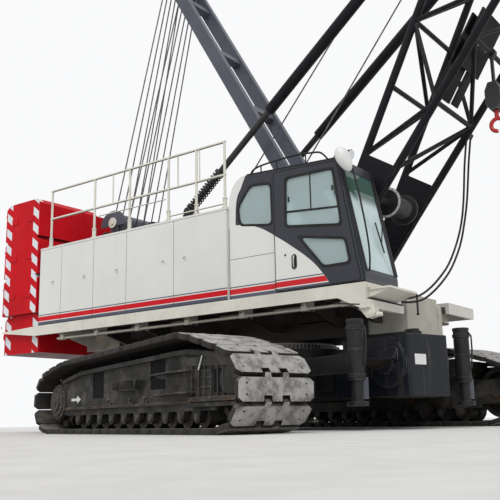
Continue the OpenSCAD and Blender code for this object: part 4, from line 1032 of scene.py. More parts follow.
def one_shoe(length):
    """A shoe with a worn walking face, four cast pits and two guide pads."""
    form = bmesh.new()
    add_outline(form, [(x, y, -SHOE_T) for x, y in shoe_outline(length)], (0, 0, SHOE_T))
    sharp = [e for e in form.edges if e.calc_face_angle(0) > 0.5]
    bmesh.ops.bevel(form, geom=sharp, offset=0.006, segments=2, affect="EDGES", profile=0.6)
    form.normal_update()
    for face in form.faces:
        face.material_index = 0 if face.normal.z < -0.6 else 1
    for y in (-0.44, 0.44):
        for x in (0.085, 0.215):
            mark(add_rod(form, (x, y, -SHOE_T - 0.0012), (x, y, -SHOE_T + 0.004), 0.014, 10), 1)
    for x in (0.06, 0.20):
        mark(add_block(form, (x, -0.10, 0), (x + 0.05, 0.10, 0.012)), 1)
    return form


for side_name, y in (("right", -TRACK_Y), ("left", TRACK_Y)):
    belt = bmesh.new()
    for i in range(SHOES):
        a, b = belt_at(FIRST + i * PITCH), belt_at(FIRST + (i + 1) * PITCH)
        way = (b - a).normalized()
        shoe = one_shoe((b - a).length)
        for vert in shoe.verts:
            p = vert.co
            height = max(a.y + p.x * way.y + p.z * way.x, 0.0)
            vert.co = under(a.x + p.x * way.x - p.z * way.y, y + p.y, height)
        copy = bpy.data.meshes.new("shoe")
        shoe.to_mesh(copy)
        shoe.free()
        belt.from_mesh(copy)
        bpy.data.meshes.remove(copy)
    bmesh.ops.recalc_face_normals(belt, faces=belt.faces)
    track = finish_piece("shoes_%s" % side_name, belt, [shoe_face, shoe_dark], "undercarriage")
    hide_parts("track_%s" % side_name)
print("belt", round(BELT_LENGTH, 2), "m, pitch", round(PITCH, 3))

# %% [markdown]
# ## Wire ropes
# The mast is held up by ten parts of rope between five sheaves on its head and the block on the
# rear of the house. A rope leaves a sheave as a tangent, so each part runs from the rear side of
# one wheel to the rear side of the other, or from front to front. The ropes shorten when the mast
# comes down, which a rigid piece can't show.

# %% Boom hoist ropes
ROPE_R = 0.013


def rope_piece(name, form):
    """A rope as a plain object, with its transform baked into its mesh."""
    piece = make_object(name, form, [rope_steel])
    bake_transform(piece)
    return piece


def straight(a, b, steps=16):
    """Points at equal steps from a to b."""
    a, b = Vector(a), Vector(b)
    return [a.lerp(b, k / steps) for k in range(steps + 1)]


HEAD = mast_at(MAST_LENGTH, 0, 0)
BLOCK = Vector((-3.54, 0, 3.965))
HEAD_R = 0.24 + ROPE_R
BLOCK_R = 0.20 + ROPE_R
way = HEAD - BLOCK
reach = way.length
slope = math.atan2(way.z, way.x)
for side_name, sense in (("front", -1), ("rear", 1)):
    form = bmesh.new()
    lean = slope + sense * (math.pi / 2 + math.asin((HEAD_R - BLOCK_R) / reach))
    off = Vector((math.cos(lean), 0, math.sin(lean)))
    for k in range(-2, 3):
        low_end = BLOCK + off * BLOCK_R + Vector((0, k * 0.20, 0))
        high_end = HEAD + off * HEAD_R + Vector((0, k * 0.11, 0))
        add_tube(form, straight(low_end, high_end), ROPE_R, 8)
    rope_piece("hoist_parts_%s" % side_name, form)
print("parts of rope: 10, each", round(reach, 2), "m")

# %% [markdown]
# ## The two hoist ropes
# Each hoist rope leaves the top of its drum and runs to the sheaves in the boom's top. When the boom
# moves, the rope turns about the place where it leaves the drum.

# %% Hoist ropes
TIP = boom_at(15.12, 0, 0.29)
DRUM_Z = 2.52
WRAP_R = 0.28
for name, drum_x, start_y, end_y in (("hoist_rope_1", -2.33, 0.34, -0.30),
                                     ("hoist_rope_2", -0.90, 0.30, 0.18)):
    form = bmesh.new()
    a = Vector((drum_x, start_y, DRUM_Z))
    b = Vector((TIP.x, end_y, TIP.z))
    lean = math.atan2(b.z - a.z, b.x - a.x) + math.pi / 2
    a += Vector((math.cos(lean), 0, math.sin(lean))) * (WRAP_R + ROPE_R)
    add_tube(form, straight(a, b, 64), ROPE_R, 8)
    rope_piece(name, form)

# %% [markdown]
# ## Rope on the drums
# Rope lies on a drum in neat turns. A revolved outline with one small bump for each turn reads as
# wound rope, and it needs far fewer faces than a real helix of some thirty turns would.

# %% Windings
def winding(form, centre, r, half, pitch, at=plain, sides=40):
    """Turns of rope side by side on a drum that lies across the crane."""
    outline = []
    for i in range(int(2 * half / pitch)):
        y = -half + i * pitch
        for t, rise in ((0.0, 0.0), (0.25, 0.7), (0.5, 1.0), (0.75, 0.7)):
            outline.append((y + t * pitch, r + rise * pitch * 0.45))
    outline.append((half, r))
    rings = []
    for y, radius in outline:
        angles = [2 * math.pi * k / sides for k in range(sides)]
        spots = [(centre[0] + radius * math.cos(a), y, centre[1] + radius * math.sin(a)) for a in angles]
        rings.append([form.verts.new(at(*spot)) for spot in spots])
    faces = join_rings(form, list(zip(rings, rings[1:])), sides)
    faces += [form.faces.new(rings[0]), form.faces.new(rings[-1])]
    bmesh.ops.recalc_face_normals(form, faces=faces)


for name, x in (("winch_front", -0.90), ("winch_rear", -2.33), ("winch_boom", -3.42)):
    form = bmesh.new()
    winding(form, (x, DRUM_Z), WRAP_R + 0.001, 0.396, 0.026)
    finish_piece("rope_on_%s" % name, form, rope_steel, name, smooth=80)
SMALL_DRUM = (1.76, -0.18)
form = bmesh.new()
winding(form, SMALL_DRUM, 0.151, 0.276, 0.020, boom_at, 28)
finish_piece("rope_on_boom_winch", form, dark_steel, "boom_winch", smooth=80)

# %% [markdown]
# ## Springs of the backstops
# The backstops keep the boom from falling backwards. A strong coil spring sits on the lower end of
# each rod and takes the last of the travel. It is a helix swept with a round tube, and a flat plate
# closes its lower end.

# %% Backstop springs
TURNS, COIL_R, WIRE_R = 13, 0.082, 0.013
FROM, TO = 0.105, 0.885
form = bmesh.new()
for y in (-0.758, 0.758):
    path = []
    for i in range(TURNS * 16 + 1):
        t = i / (TURNS * 16)
        a = 2 * math.pi * TURNS * t
        path.append(stop_at(FROM + (TO - FROM) * t, y + COIL_R * math.cos(a), COIL_R * math.sin(a)))
    add_tube(form, path, WIRE_R, 7)
    add_rod(form, stop_at(0.080, y, 0), stop_at(0.098, y, 0), 0.095, 24)
finish_piece("backstop_springs", form, dark_steel, "backstop_rods", smooth=60)

# %% [markdown]
# ## The outer face of a side frame
# A side frame is a welded box. Its outer face is a plate with tall openings to the inside, a beam
# along its top, a strong block that guides the idler at the front, steps for the crew and a small
# tray. All of it stands on the solid's outer face, so the pieces are drawn in X, distance out from
# that face, and Z, and one function places them on either side.

# %% Side frame plates
FACE_Y = 2.86


def on_face(sign):
    """A frame on the outer face of a side frame: X, out from the face, Z."""
    return lambda x, out, z: under(x, sign * (FACE_Y + out), z)


def plate(form, at, outline, out_low, out_high):
    """An upright plate drawn in X and Z, from one distance out to another."""
    add_outline(form, [at(x, out_low, z) for x, z in outline], at(0, out_high, 0) - at(0, out_low, 0))


def ledge(form, at, outline, z_low, z_high):
    """A level plate drawn in X and distance out."""
    add_outline(form, [at(x, out, z_low) for x, out in outline], at(0, 0, z_high) - at(0, 0, z_low))

# %% [markdown]
# ## The plates of a side frame as lists
# Nearly thirty plates make the outer face. Written as lists of outlines with two distances each, they can
# be read and changed in one place, and a short loop below builds them for both sides.

# %% Outlines of the plates
TOP_LINE = [(-2.19, 0.86), (-1.52, 0.965), (-0.82, 0.99), (0.46, 1.03), (1.31, 1.06), (1.66, 1.06),
            (2.56, 0.95)]
GUIDE_END = [(2.50 + 0.17 * math.cos(a), 0.64 + 0.17 * math.sin(a))
             for a in [math.radians(v) for v in range(90, 271, 15)]]
SKIN = (0.0005, 0.014)
# Each plate is an outline in X and Z, and how far out from the face it starts and ends
PLATES = [
    # Face plates between the openings
    ([(-2.15, 0.40), (-1.195, 0.40), (-1.195, 0.945), (-1.52, 0.93), (-2.19, 0.86)], *SKIN),
    ([(-0.82, 0.40), (0.60, 0.40), (0.60, 1.02), (-0.82, 0.965)], *SKIN),
    (oblong(1.01, 0.40, 1.90, 1.03), *SKIN),
    (oblong(-1.195, 0.40, -0.82, 0.53), *SKIN),
    (oblong(0.60, 0.40, 1.01, 0.59), *SKIN),
    # Beam along the top, and the bottom flange
    (TOP_LINE + [(x, z - 0.062) for x, z in reversed(TOP_LINE)], 0.0, 0.085),
    (oblong(-2.18, 0.375, 1.68, 0.415), 0.0, 0.055),
    # Idler guide: upper beam, middle wall, lower beams, and the round end by the idler's bearing
    ([(1.60, 0.855), (2.66, 0.80), (2.72, 0.86), (2.56, 0.95), (1.60, 0.95)], 0.0, 0.06),
    ([(1.90, 0.43), (2.42, 0.43), (2.42, 0.86), (1.90, 0.88)], 0.0, 0.030),
    ([(1.64, 0.395), (2.72, 0.395), (2.75, 0.42), (2.75, 0.455), (1.64, 0.455)], 0.0, 0.10),
    (oblong(1.66, 0.335, 2.70, 0.385), 0.0, 0.075),
    ([(2.78, 0.81)] + GUIDE_END + [(2.78, 0.47), (2.82, 0.50), (2.82, 0.78)], 0.0, 0.045),
    # Risers of the crew's steps, and the ends of the open tray
    ([(0.90, 0.72), (1.74, 0.70), (1.74, 0.775), (0.70, 0.775)], 0.0, 0.018),
    ([(1.00, 0.44), (1.76, 0.44), (1.76, 0.50), (0.82, 0.50)], 0.0, 0.018),
    (oblong(-0.33, 0.612, -0.31, 0.75), 0.0, 0.15),
    (oblong(0.36, 0.612, 0.38, 0.752), 0.0, 0.14),
]
# Ribs of the idler guide, upright and level
PLATES += [(oblong(x, 0.44, x + 0.022, 0.86), 0.0, 0.055) for x in (1.70, 1.86, 2.00, 2.14, 2.28, 2.40)]
PLATES += [(oblong(1.90, z, 2.16, z + 0.02), 0.0, 0.045) for z in (0.56, 0.68, 0.76)]
# Treads of the steps, and the tray's floor and shelf, drawn in X and distance out
LEDGES = [
    ([(0.45, 0.0), (1.74, 0.0), (1.74, 0.17), (1.30, 0.17)], 0.775, 0.800),
    ([(0.62, 0.0), (1.76, 0.0), (1.76, 0.17), (1.40, 0.17)], 0.500, 0.525),
    (oblong(-0.33, 0.0, 0.38, 0.15), 0.600, 0.612),
    (oblong(-0.10, 0.0, 0.36, 0.12), 0.740, 0.752),
]
# Dark plates in the openings: painted shade
OPENINGS = [
    ([(-1.195, 0.53), (-0.82, 0.53), (-0.82, 0.94), (-1.195, 0.92)], 0.0002, 0.0012),
    ([(0.60, 0.59), (1.01, 0.59), (1.01, 1.00), (0.60, 0.98)], 0.0002, 0.0012),
    (oblong(2.18, 0.50, 2.38, 0.78), 0.0302, 0.032),
]
print("plates:", len(PLATES), "ledges:", len(LEDGES))

# %% [markdown]
# ## Both side frames
# Each side gets three pieces: the plates, dark plates in the openings as painted shade, and the small
# steel fittings with the round cover of the final drive.

# %% Side frames
DRIVE = (-2.5, 0.515)


def drive_cover(form, at):
    """Rings over the final drive, with two circles of bolts."""
    for r, out in ((0.285, 0.028), (0.235, 0.055), (0.150, 0.085), (0.060, 0.100)):
        add_rod(form, at(DRIVE[0], 0, DRIVE[1]), at(DRIVE[0], out, DRIVE[1]), r, 40)
    for count, ring, out in ((20, 0.262, 0.042), (12, 0.195, 0.068)):
        for k in range(count):
            a = 2 * math.pi * k / count
            x, z = DRIVE[0] + ring * math.cos(a), DRIVE[1] + ring * math.sin(a)
            add_rod(form, at(x, 0.02, z), at(x, out, z), 0.013, 6)


for side_name, sign in (("right", -1), ("left", 1)):
    at = on_face(sign)
    form = bmesh.new()
    for outline, low, high in PLATES:
        plate(form, at, outline, low, high)
    for outline, low, high in LEDGES:
        ledge(form, at, outline, low, high)
    finish_piece("frame_face_%s" % side_name, form, frame_dirt, "undercarriage", bevel=0.004)

    form = bmesh.new()
    for outline, low, high in OPENINGS:
        plate(form, at, outline, low, high)
    finish_piece("frame_opening_shade_%s" % side_name, form, painted_shade_black, "undercarriage")

    form = bmesh.new()
    drive_cover(form, at)
    # Grease fitting boxes on the flange and bolt heads on the idler's guide
    for x in (-1.72, -0.58, 0.10, 0.52):
        add_rod(form, at(x, 0.055, 0.43), at(x + 0.02, 0.075, 0.50), 0.022, 8)
        add_block(form, (x - 0.05, 0.01, 0.415), (x + 0.05, 0.06, 0.45), at)
    for x in (1.78, 2.20, 2.60):
        add_rod(form, at(x, 0.10, 0.425), at(x, 0.115, 0.425), 0.016, 6)
    finish_piece("frame_fittings_%s" % side_name, form, wheel_steel, "undercarriage",
                 bevel=0.002)

# %% [markdown]
# ## Marks on the near side frame
# A pale arrow on the near side frame shows which way is forward, and a pale pin holds its upper
# step. The arrow is a thin plate a fraction of a millimetre proud of the face.

# %% Arrow and pin
ARROW = [(-1.98, 0.515), (-1.76, 0.515), (-1.76, 0.470), (-1.625, 0.535), (-1.76, 0.600), (-1.76, 0.555),
         (-1.98, 0.555)]
form = bmesh.new()
at = on_face(-1)
add_rod(form, at(1.993, 0.07, 0.97), at(1.901, 0.07, 0.785), 0.010, 8)
plate(form, at, ARROW, 0.0142, 0.0152)
finish_piece("frame_marks_right", form, white_plastic, "undercarriage")

# %% [markdown]
# ## The carbody weights
# Each weight is a narrow block on the end of the carbody. A round pad and a bent hood on either
# side form the lifting pocket, and the front one has a filler with a bent spout. The narrow block,
# the hoods and the pads take the place of the plain solid.

# %% Carbody weights
WEIGHT_OUTLINE = [(1.85, -0.41), (3.07, -0.41), (3.10, -0.38), (3.10, 0.38), (3.07, 0.41), (1.85, 0.41)]
HOOD = [(2.96, 0.41, 1.13), (2.96, 0.41, 0.92), (2.42, 0.41, 1.02), (2.42, 0.41, 0.80), (2.50, 0.68, 0.935),
        (2.50, 0.66, 0.90), (2.93, 0.53, 0.93), (2.55, 0.52, 0.78)]
GRIP = [(2.52, 0.66, 1.08), (2.50, 0.72, 1.06), (2.50, 0.735, 0.99), (2.51, 0.72, 0.92), (2.52, 0.66, 0.90)]


def at_end(end):
    """The undercarriage's frame, turned towards its front end, 1, or its rear end, -1."""
    return lambda x, y, z: under(end * x, y, z)


form = bmesh.new()
for end in (1, -1):
    at = at_end(end)
    add_outline(form, [at(x, y, 0.43) for x, y in WEIGHT_OUTLINE], (0, 0, 0.83))
    for s in (1, -1):
        add_rod(form, at(2.72, s * 0.40, 0.89), at(2.72, s * 0.455, 0.89), 0.34, 40)
        add_rod(form, at(2.72, s * 0.45, 0.89), at(2.72, s * 0.50, 0.89), 0.17, 32)
        bmesh.ops.convex_hull(form, input=[form.verts.new(at(x, s * y, z)) for x, y, z in HOOD])
    add_block(form, (1.90, -0.62, 0.43), (2.30, 0.62, 0.95), at)
bmesh.ops.recalc_face_normals(form, faces=form.faces)
weights = finish_piece("weight_blocks", form, navy, "undercarriage", bevel=0.012)
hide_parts("carbody_weights")

form = bmesh.new()
for end in (1, -1):
    for s in (1, -1):
        add_tube(form, [at_end(end)(x, s * y, z) for x, y, z in GRIP], 0.009, 8)
finish_piece("weight_handles", form, bright_steel, "undercarriage")

# %% [markdown]
# ## Filler and blank plate of the front weight
# The filler stands on top in two steps, with a bent spout. The plate on the front is blank.

# %% Weight filler
FILLER = (2.97, -0.13)
SPOUT = [(-0.15, 1.30), (-0.24, 1.315), (-0.29, 1.30), (-0.305, 1.27)]
form = bmesh.new()
for low, high, r in ((1.258, 1.30, 0.105), (1.30, 1.335, 0.075)):
    add_rod(form, under(*FILLER, low), under(*FILLER, high), r, 28)
add_tube(form, [under(FILLER[0], y, z) for y, z in SPOUT], 0.020, 10)
finish_piece("weight_filler", form, rubber_and_shade, "undercarriage", bevel=0.004)
form = bmesh.new()
add_block(form, (3.100, -0.29, 0.845), (3.103, -0.07, 0.985), under)
finish_piece("weight_plate", form, white_plastic, "undercarriage")

# %% [markdown]
# ## Fittings of the jacks and the slewing ring
# A jack's leg is locked by a pale block beside it, carries three collars and has a bent hose down
# its side. The slewing ring is held by a close circle of bolts, which reads as a fine tooth
# pattern above the carbody.

# %% Jacks and ring bolts
JACK_X, JACK_Y = 2.80, 1.08
JACK_HOSE = [(0.11, 0.03, 1.36), (0.15, 0.04, 1.30), (0.15, 0.04, 1.10), (0.13, 0.03, 0.86),
             (0.11, 0.02, 0.80)]
RING_R, RING_BOLTS = 1.02, 60
form = bmesh.new()
for end, s in ((1, -1), (1, 1), (-1, -1), (-1, 1)):
    at = at_end(end)
    y = s * JACK_Y
    lock = add_block(form, (JACK_X - 0.035, y + 0.06, 0.40), (JACK_X + 0.035, y + 0.17, 0.676), at)
    mark(lock, 1)
    for z, r in ((1.405, 0.120), (0.70, 0.122), (1.02, 0.118)):
        add_rod(form, at(JACK_X, y, z - 0.02), at(JACK_X, y, z + 0.02), r, 32)
    add_tube(form, [at(JACK_X + dx, y + dy, z) for dx, dy, z in JACK_HOSE], 0.013, 8)
finish_piece("jack_fittings", form, [black, mast_blue], "undercarriage", bevel=0.004)
form = bmesh.new()
for k in range(RING_BOLTS):
    a = 2 * math.pi * (k + 0.5) / RING_BOLTS
    x, y = RING_R * math.cos(a), RING_R * math.sin(a)
    add_rod(form, under(x, y, 1.199), under(x, y, 1.222), 0.018, 6)
finish_piece("ring_bolts", form, ring_steel, "undercarriage")

# %% [markdown]
# ## The nose of the deck
# Below the cab's front the deck ends in a folded plate: a lower beam that stands proud, a sloped
# panel up to the step, and a cast towing lug under the corner. The clamps of a tube follow the side
# beam to the rear.

# %% Deck nose
STEP_PANEL = [(2.600, 1.700), (2.930, 1.795), (2.930, 1.800), (2.600, 1.800)]
LUG = [(2.48, 1.565), (2.66, 1.60), (2.70, 1.50), (2.66, 1.445), (2.58, 1.43), (2.52, 1.50)]
LUG_PIN = [(2.45, -1.74, 1.58), (2.55, -1.74, 1.50), (2.68, -1.73, 1.47), (2.76, -1.71, 1.475)]
form = bmesh.new()
add_block(form, (2.600, -1.835, 1.562), (2.640, -0.84, 1.672))
add_upright(form, STEP_PANEL, -1.76, 0.76)
add_block(form, (2.600, -1.80, 1.825), (2.640, -0.90, 1.885))
# Towing lug
for y in (-1.80, -1.70):
    add_upright(form, LUG, y, 0.045)
add_rod(form, (2.62, -1.81, 1.495), (2.62, -1.645, 1.495), 0.035, 20)
add_tube(form, LUG_PIN, 0.030, 10)
# Tube clamps under the side beam
for x in (-3.70, -2.80, -1.80, -0.70, 0.40, 1.50, 2.15):
    add_block(form, (x - 0.045, -1.645, 1.640), (x + 0.045, -1.555, 1.735))
    add_rod(form, (x - 0.06, -1.60, 1.668), (x + 0.06, -1.60, 1.668), 0.036, 16)
finish_piece("deck_fittings", form, cream, "upper", bevel=0.005)

# %% [markdown]
# ## Painted shade in the slots, the pole and the hose fittings
# A slot that is cut right through needs no cut: a thin dark plate lies on the face as painted shade.
# The pole has a rubber foot, and each hose leaves the front plate through a short tapered fitting.

# %% Dark parts of the nose
SIDE_SLOT = [(2.10, 1.655), (2.50, 1.605), (2.51, 1.620), (2.11, 1.672)]
FRONT_SLOT = oblong(-1.80, 1.676, -0.87, 1.694)
POLE = (2.915, -0.98)
form = bmesh.new()
# Thin dark plates on the faces stand for the slots: painted shade.
add_upright(form, SIDE_SLOT, -1.8405, -0.0012)
add_outline(form, [(2.6405, y, z) for y, z in FRONT_SLOT], (-0.03, 0, 0))
for high, low, r in ((1.797, 1.515, 0.013), (1.535, 1.512, 0.020)):
    add_rod(form, (*POLE, high), (*POLE, low), r, 12)
for z in (1.752, 1.800):
    add_rod(form, (2.57, -0.832, z), (2.585, -0.79, z - 0.002), 0.024, 16, 0.018)
finish_piece("deck_dark_bits", form, rubber_and_shade, "upper")

# %% [markdown]
# ## Rubber seals round the cab's windows
# Each pane sits in a black rubber profile with rounded corners. The seal is a flat band between two
# outlines: the outer one follows the opening, the inner one is moved inwards and has its corners
# rounded with a short curve. Both have the same number of points, so they join into clean quads.

# %% Window seals
def rounded(points, inset, r, steps=5):
    """An outline moved inwards, with rounded corners."""
    n = len(points)
    pairs = list(zip(points, points[1:] + points[:1]))
    area = sum(a[0] * b[1] - b[0] * a[1] for a, b in pairs)
    sense = 1 if area > 0 else -1
    corners = []
    for i in range(n):
        p, q = Vector(points[i]), Vector(points[(i + 1) % n])
        o = Vector(points[i - 1])
        u, v = (p - o).normalized(), (q - p).normalized()
        left_u = Vector((-u.y, u.x)) * sense * inset
        left_v = Vector((-v.y, v.x)) * sense * inset
        turn = u.x * v.y - u.y * v.x
        corners.append(p + left_u + u * (((left_v - left_u).x * v.y - (left_v - left_u).y * v.x) / turn))
    outline = []
    for i in range(n):
        p = corners[i]
        u, v = (corners[i - 1] - p).normalized(), (corners[(i + 1) % n] - p).normalized()
        a, b = p + u * r, p + v * r
        for k in range(steps + 1):
            t = k / steps
            outline.append(a * (1 - t) ** 2 + p * 2 * t * (1 - t) + b * t ** 2)
    return outline


def add_band(form, outer, inner, y, push):
    """A closed band between two outlines in X and Z, from y to y + push."""
    n = len(outer)
    rows = [[form.verts.new((p.x, h, p.y)) for p in line] for line, h in (
        (outer, y), (inner, y), (inner, y + push), (outer, y + push))]
    faces = join_rings(form, list(zip(rows, rows[1:] + rows[:1])), n)
    bmesh.ops.recalc_face_normals(form, faces=faces)

# %% [markdown]
# ## Seals on the door and the quarter window
# The door's seals ride on the door, so they slide with it, and the quarter window's seal stays on
# the cab. The handle is a bent bar over a recess, with a keyhole beside it.

# %% Seals and handle
DOOR_FACE = -1.84
SHELL_FACE = -1.792
QUARTER = [(0.470, 3.300), (0.510, 3.020), (1.100, 2.930), (1.090, 3.560), (0.710, 3.600)]
DOOR_WINDOW = [(1.390, 3.560), (1.370, 2.850), (2.280, 2.730), (2.180, 3.545)]
LOW_WINDOW = [(1.590, 2.660), (1.970, 2.190), (2.390, 2.190), (2.330, 2.530)]
DOOR_OUTLINE = [(1.165, 1.924), (2.555, 1.924), (2.250, 3.655), (1.165, 3.700)]
DIVIDER = [(1.384, 3.045), (2.245, 2.975), (2.243, 3.000), (1.385, 3.072)]
HANDLE = [(-1.842, 2.235), (-1.858, 2.25), (-1.862, 2.32), (-1.858, 2.385), (-1.842, 2.40)]


def recess(x, z, half, r):
    """The outline of an upright slot with round ends."""
    angles = [2 * math.pi * (k + 0.5) / 20 for k in range(20)]
    return [(x + 0.045 * math.cos(a), z + math.copysign(half, math.sin(a)) + r * math.sin(a)) for a in angles]


form = bmesh.new()
for window in (DOOR_WINDOW, LOW_WINDOW):
    add_band(form, rounded(window, -0.022, 0.07), rounded(window, 0.014, 0.06), DOOR_FACE - 0.006, 0.020)
# Dividing bar and sliding pane of the door's window
add_upright(form, DIVIDER, -1.834, 0.016)
add_block(form, (1.790, -1.832, 3.040), (1.806, -1.818, 3.545))
for x, z in ((1.42, 3.20), (2.15, 3.23)):
    add_block(form, (x, -1.842, z), (x + 0.022, -1.830, z + 0.075))
# Seal round the whole door
add_band(form, rounded(DOOR_OUTLINE, 0.004, 0.05), rounded(DOOR_OUTLINE, 0.016, 0.05),
         DOOR_FACE - 0.003, 0.006)
# Recess of the handle, and the keyhole
add_upright(form, recess(1.50, 2.318, 0.060, 0.050), -1.8435, 0.004)
add_rod(form, (1.351, -1.845, 2.43), (1.351, -1.838, 2.43), 0.016, 16)
finish_piece("door_seals", form, rubber_and_shade, "cab_door", bevel=0.002)
form = bmesh.new()
add_band(form, rounded(QUARTER, -0.022, 0.09), rounded(QUARTER, 0.014, 0.08), SHELL_FACE - 0.001, 0.015)
finish_piece("quarter_seal", form, rubber_and_shade, "upper", bevel=0.002)
form = bmesh.new()
add_tube(form, [(1.50, y, z) for y, z in HANDLE], 0.011, 10)
finish_piece("door_handle", form, bright_steel, "cab_door")

# %% [markdown]
# ## Grab rail, wiper and lamp
# The roof carries a bent grab rail on short feet. A black curved bar runs down the near edge of the
# windscreen, and a wiper with one arm lies on the glass. A work lamp looks forward from the front
# corner, beside the arm of the mirror. Bent tubes are swept along a few points.

# %% Cab fittings
SCREEN_LEAN = math.atan2(2.589 - 2.261, 3.690 - 2.040)
GLASS, BLACK_EDGE = 0.008, 0.001
RAIL = [(0.655, 3.79), (0.72, 3.865), (0.90, 3.905), (1.41, 3.925), (1.80, 3.895),
        (1.93, 3.855), (2.03, 3.745)]
SCREEN_BAR = [(2.33, -1.66, 3.70), (2.42, -1.70, 3.50), (2.50, -1.72, 3.20), (2.565, -1.73, 2.85),
              (2.615, -1.73, 2.50), (2.625, -1.72, 2.25), (2.60, -1.70, 2.06)]
WIPER_ARM = [(-1.02, 0.90, 0.02), (-1.08, 0.70, 0.05), (-1.20, 0.42, 0.035)]
WIPER_BLADE = [(-1.14, 0.30), (-1.15, 0.30), (-1.21, 0.75), (-1.20, 0.75)]
GUTTER = [(0.66, 3.772), (2.262, 3.694), (2.262, 3.704), (0.66, 3.784)]
MIRROR_ARM = [(2.16, -1.72, 3.72), (2.26, -1.80, 3.745), (2.37, -1.86, 3.72), (2.40, -1.86, 3.66)]
LAMP_ARM = [(2.20, -1.62, 3.70), (2.28, -1.64, 3.745), (2.33, -1.65, 3.76)]


def on_screen(y, up, out):
    """A point on the windscreen: across, up along the glass and out from it."""
    return Vector((2.589 - up * math.sin(SCREEN_LEAN) + out * math.cos(SCREEN_LEAN), y,
                   2.100 + up * math.cos(SCREEN_LEAN) + out * math.sin(SCREEN_LEAN)))


def add_on_screen(form, outline, low, high):
    """A flat piece on the windscreen, drawn across and up, from one distance out to another."""
    push = on_screen(0, 0, high) - on_screen(0, 0, low)
    add_outline(form, [on_screen(y, up, low) for y, up in outline], push)


form = bmesh.new()
add_tube(form, curve_through([(x, -1.70, z) for x, z in RAIL], 4), 0.014, 10)
for x, low, high in ((0.86, 3.775, 3.895), (1.15, 3.760, 3.915), (1.66, 3.735, 3.910)):
    add_rod(form, (x, -1.70, low), (x, -1.70, high), 0.011, 8)
# Bar down the windscreen's near edge, and the wiper's arm and blade
add_tube(form, curve_through(SCREEN_BAR, 4), 0.013, 8)
add_tube(form, [on_screen(*spot) for spot in WIPER_ARM], 0.009, 8)
add_on_screen(form, WIPER_BLADE, GLASS, 0.028)
# Seams of the panel behind the door
add_block(form, (0.305, -1.7935, 2.506), (1.160, -1.790, 2.513))
add_block(form, (0.305, -1.7935, 1.906), (0.312, -1.790, 3.000))
# Gutter above the door
add_upright(form, GUTTER, -1.80, 0.04)
# Black edge of the windscreen
for y0, y1 in ((-1.792, -1.742), (-0.92, -0.872)):
    add_on_screen(form, oblong(y0, -0.02, y1, 1.60), BLACK_EDGE, 0.006)
# Mirror arm, lamp bracket and the lamp's housing
add_tube(form, MIRROR_ARM, 0.014, 8)
add_tube(form, LAMP_ARM, 0.012, 8)
add_rod(form, (2.31, -1.65, 3.76), (2.39, -1.66, 3.745), 0.062, 24, 0.070)
finish_piece("cab_black_trim", form, rubber_and_shade, "upper", bevel=0.002)

form = bmesh.new()
add_rod(form, (2.388, -1.66, 3.745), (2.396, -1.661, 3.7435), 0.064, 24)
finish_piece("lamp_face", form, lamp_glass, "upper")

# %% [markdown]
# ## The mirror's shell
# A sphere becomes the mirror's shell in three moves: one side is cut flat for the glass, the rest is
# pulled into a long dish that is wider at its top, and the whole is turned back towards the seat.

# %% Mirror
MIRROR_AT = Vector((2.40, -1.89, 3.610))
MIRROR_TURN = Matrix.Rotation(math.radians(-50), 3, "Z") @ Matrix.Rotation(math.radians(24), 3, "X")
MIRROR_FLAT = -0.12
form = bmesh.new()
bmesh.ops.create_uvsphere(form, u_segments=32, v_segments=16, radius=1.0)
for vert in form.verts:
    p = vert.co.copy()
    shape = Vector((max(p.x, MIRROR_FLAT) * 0.07, p.y * (0.105 + 0.020 * p.z), p.z * 0.185))
    vert.co = MIRROR_TURN @ shape + MIRROR_AT
mirror = finish_piece("mirror_dish", form, white_plastic, "upper", smooth=60)
form = bmesh.new()
add_block(form, (2.115, -1.742, 3.715), (2.205, -1.682, 3.735))
add_rod(form, (2.16, -1.712, 3.735), (2.16, -1.712, 3.760), 0.022, 16)
foot = finish_piece("mirror_foot", form, rubber_and_shade, "upper", bevel=0.003)
for piece in (mirror, foot):
    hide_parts("cab_mirror")

# %% [markdown]
# ## The driver's seat
# A seat is a frame with sprung cushions. Each cushion is a block whose faces crown and whose corners
# pull in, with sewn channels across it. The block is cut into a grid, each point is moved by how
# near it lies to the middle, and a subdivision smooths the result. This is quicker than cloth and
# gives the firm look of a vinyl seat.

# %% Cushions
SEAT_Y = -1.331


def cushion(name, centre, size, crown, tilt=0.0, channels=()):
    """A padded block, crowned on its faces, tilted back about the Y axis."""
    form = bmesh.new()
    bmesh.ops.create_cube(form, size=2.0)
    bmesh.ops.subdivide_edges(form, edges=form.edges, cuts=7, use_grid_fill=True)
    turn = Matrix.Rotation(tilt, 3, "Y")
    for vert in form.verts:
        u, v, w = vert.co
        swell = (1 - u ** 4) * (1 - v ** 4)
        pull = 1 - 0.05 * (abs(u) ** 6 * abs(v) ** 6)
        groove = sum(max(0.0, 1 - abs(u - c) / 0.12) for c in channels) * 0.10 * swell
        p = Vector((u * size[0] / 2 * pull, v * size[1] / 2 * pull,
                    w * size[2] / 2 * (1 + crown * swell - groove)))
        vert.co = Vector(centre) + turn @ p
    piece = finish_piece(name, form, seat_vinyl, "upper", smooth=80)
    smoother = piece.modifiers.new("smooth", "SUBSURF")
    smoother.levels = 1
    smoother.render_levels = 1
    return piece


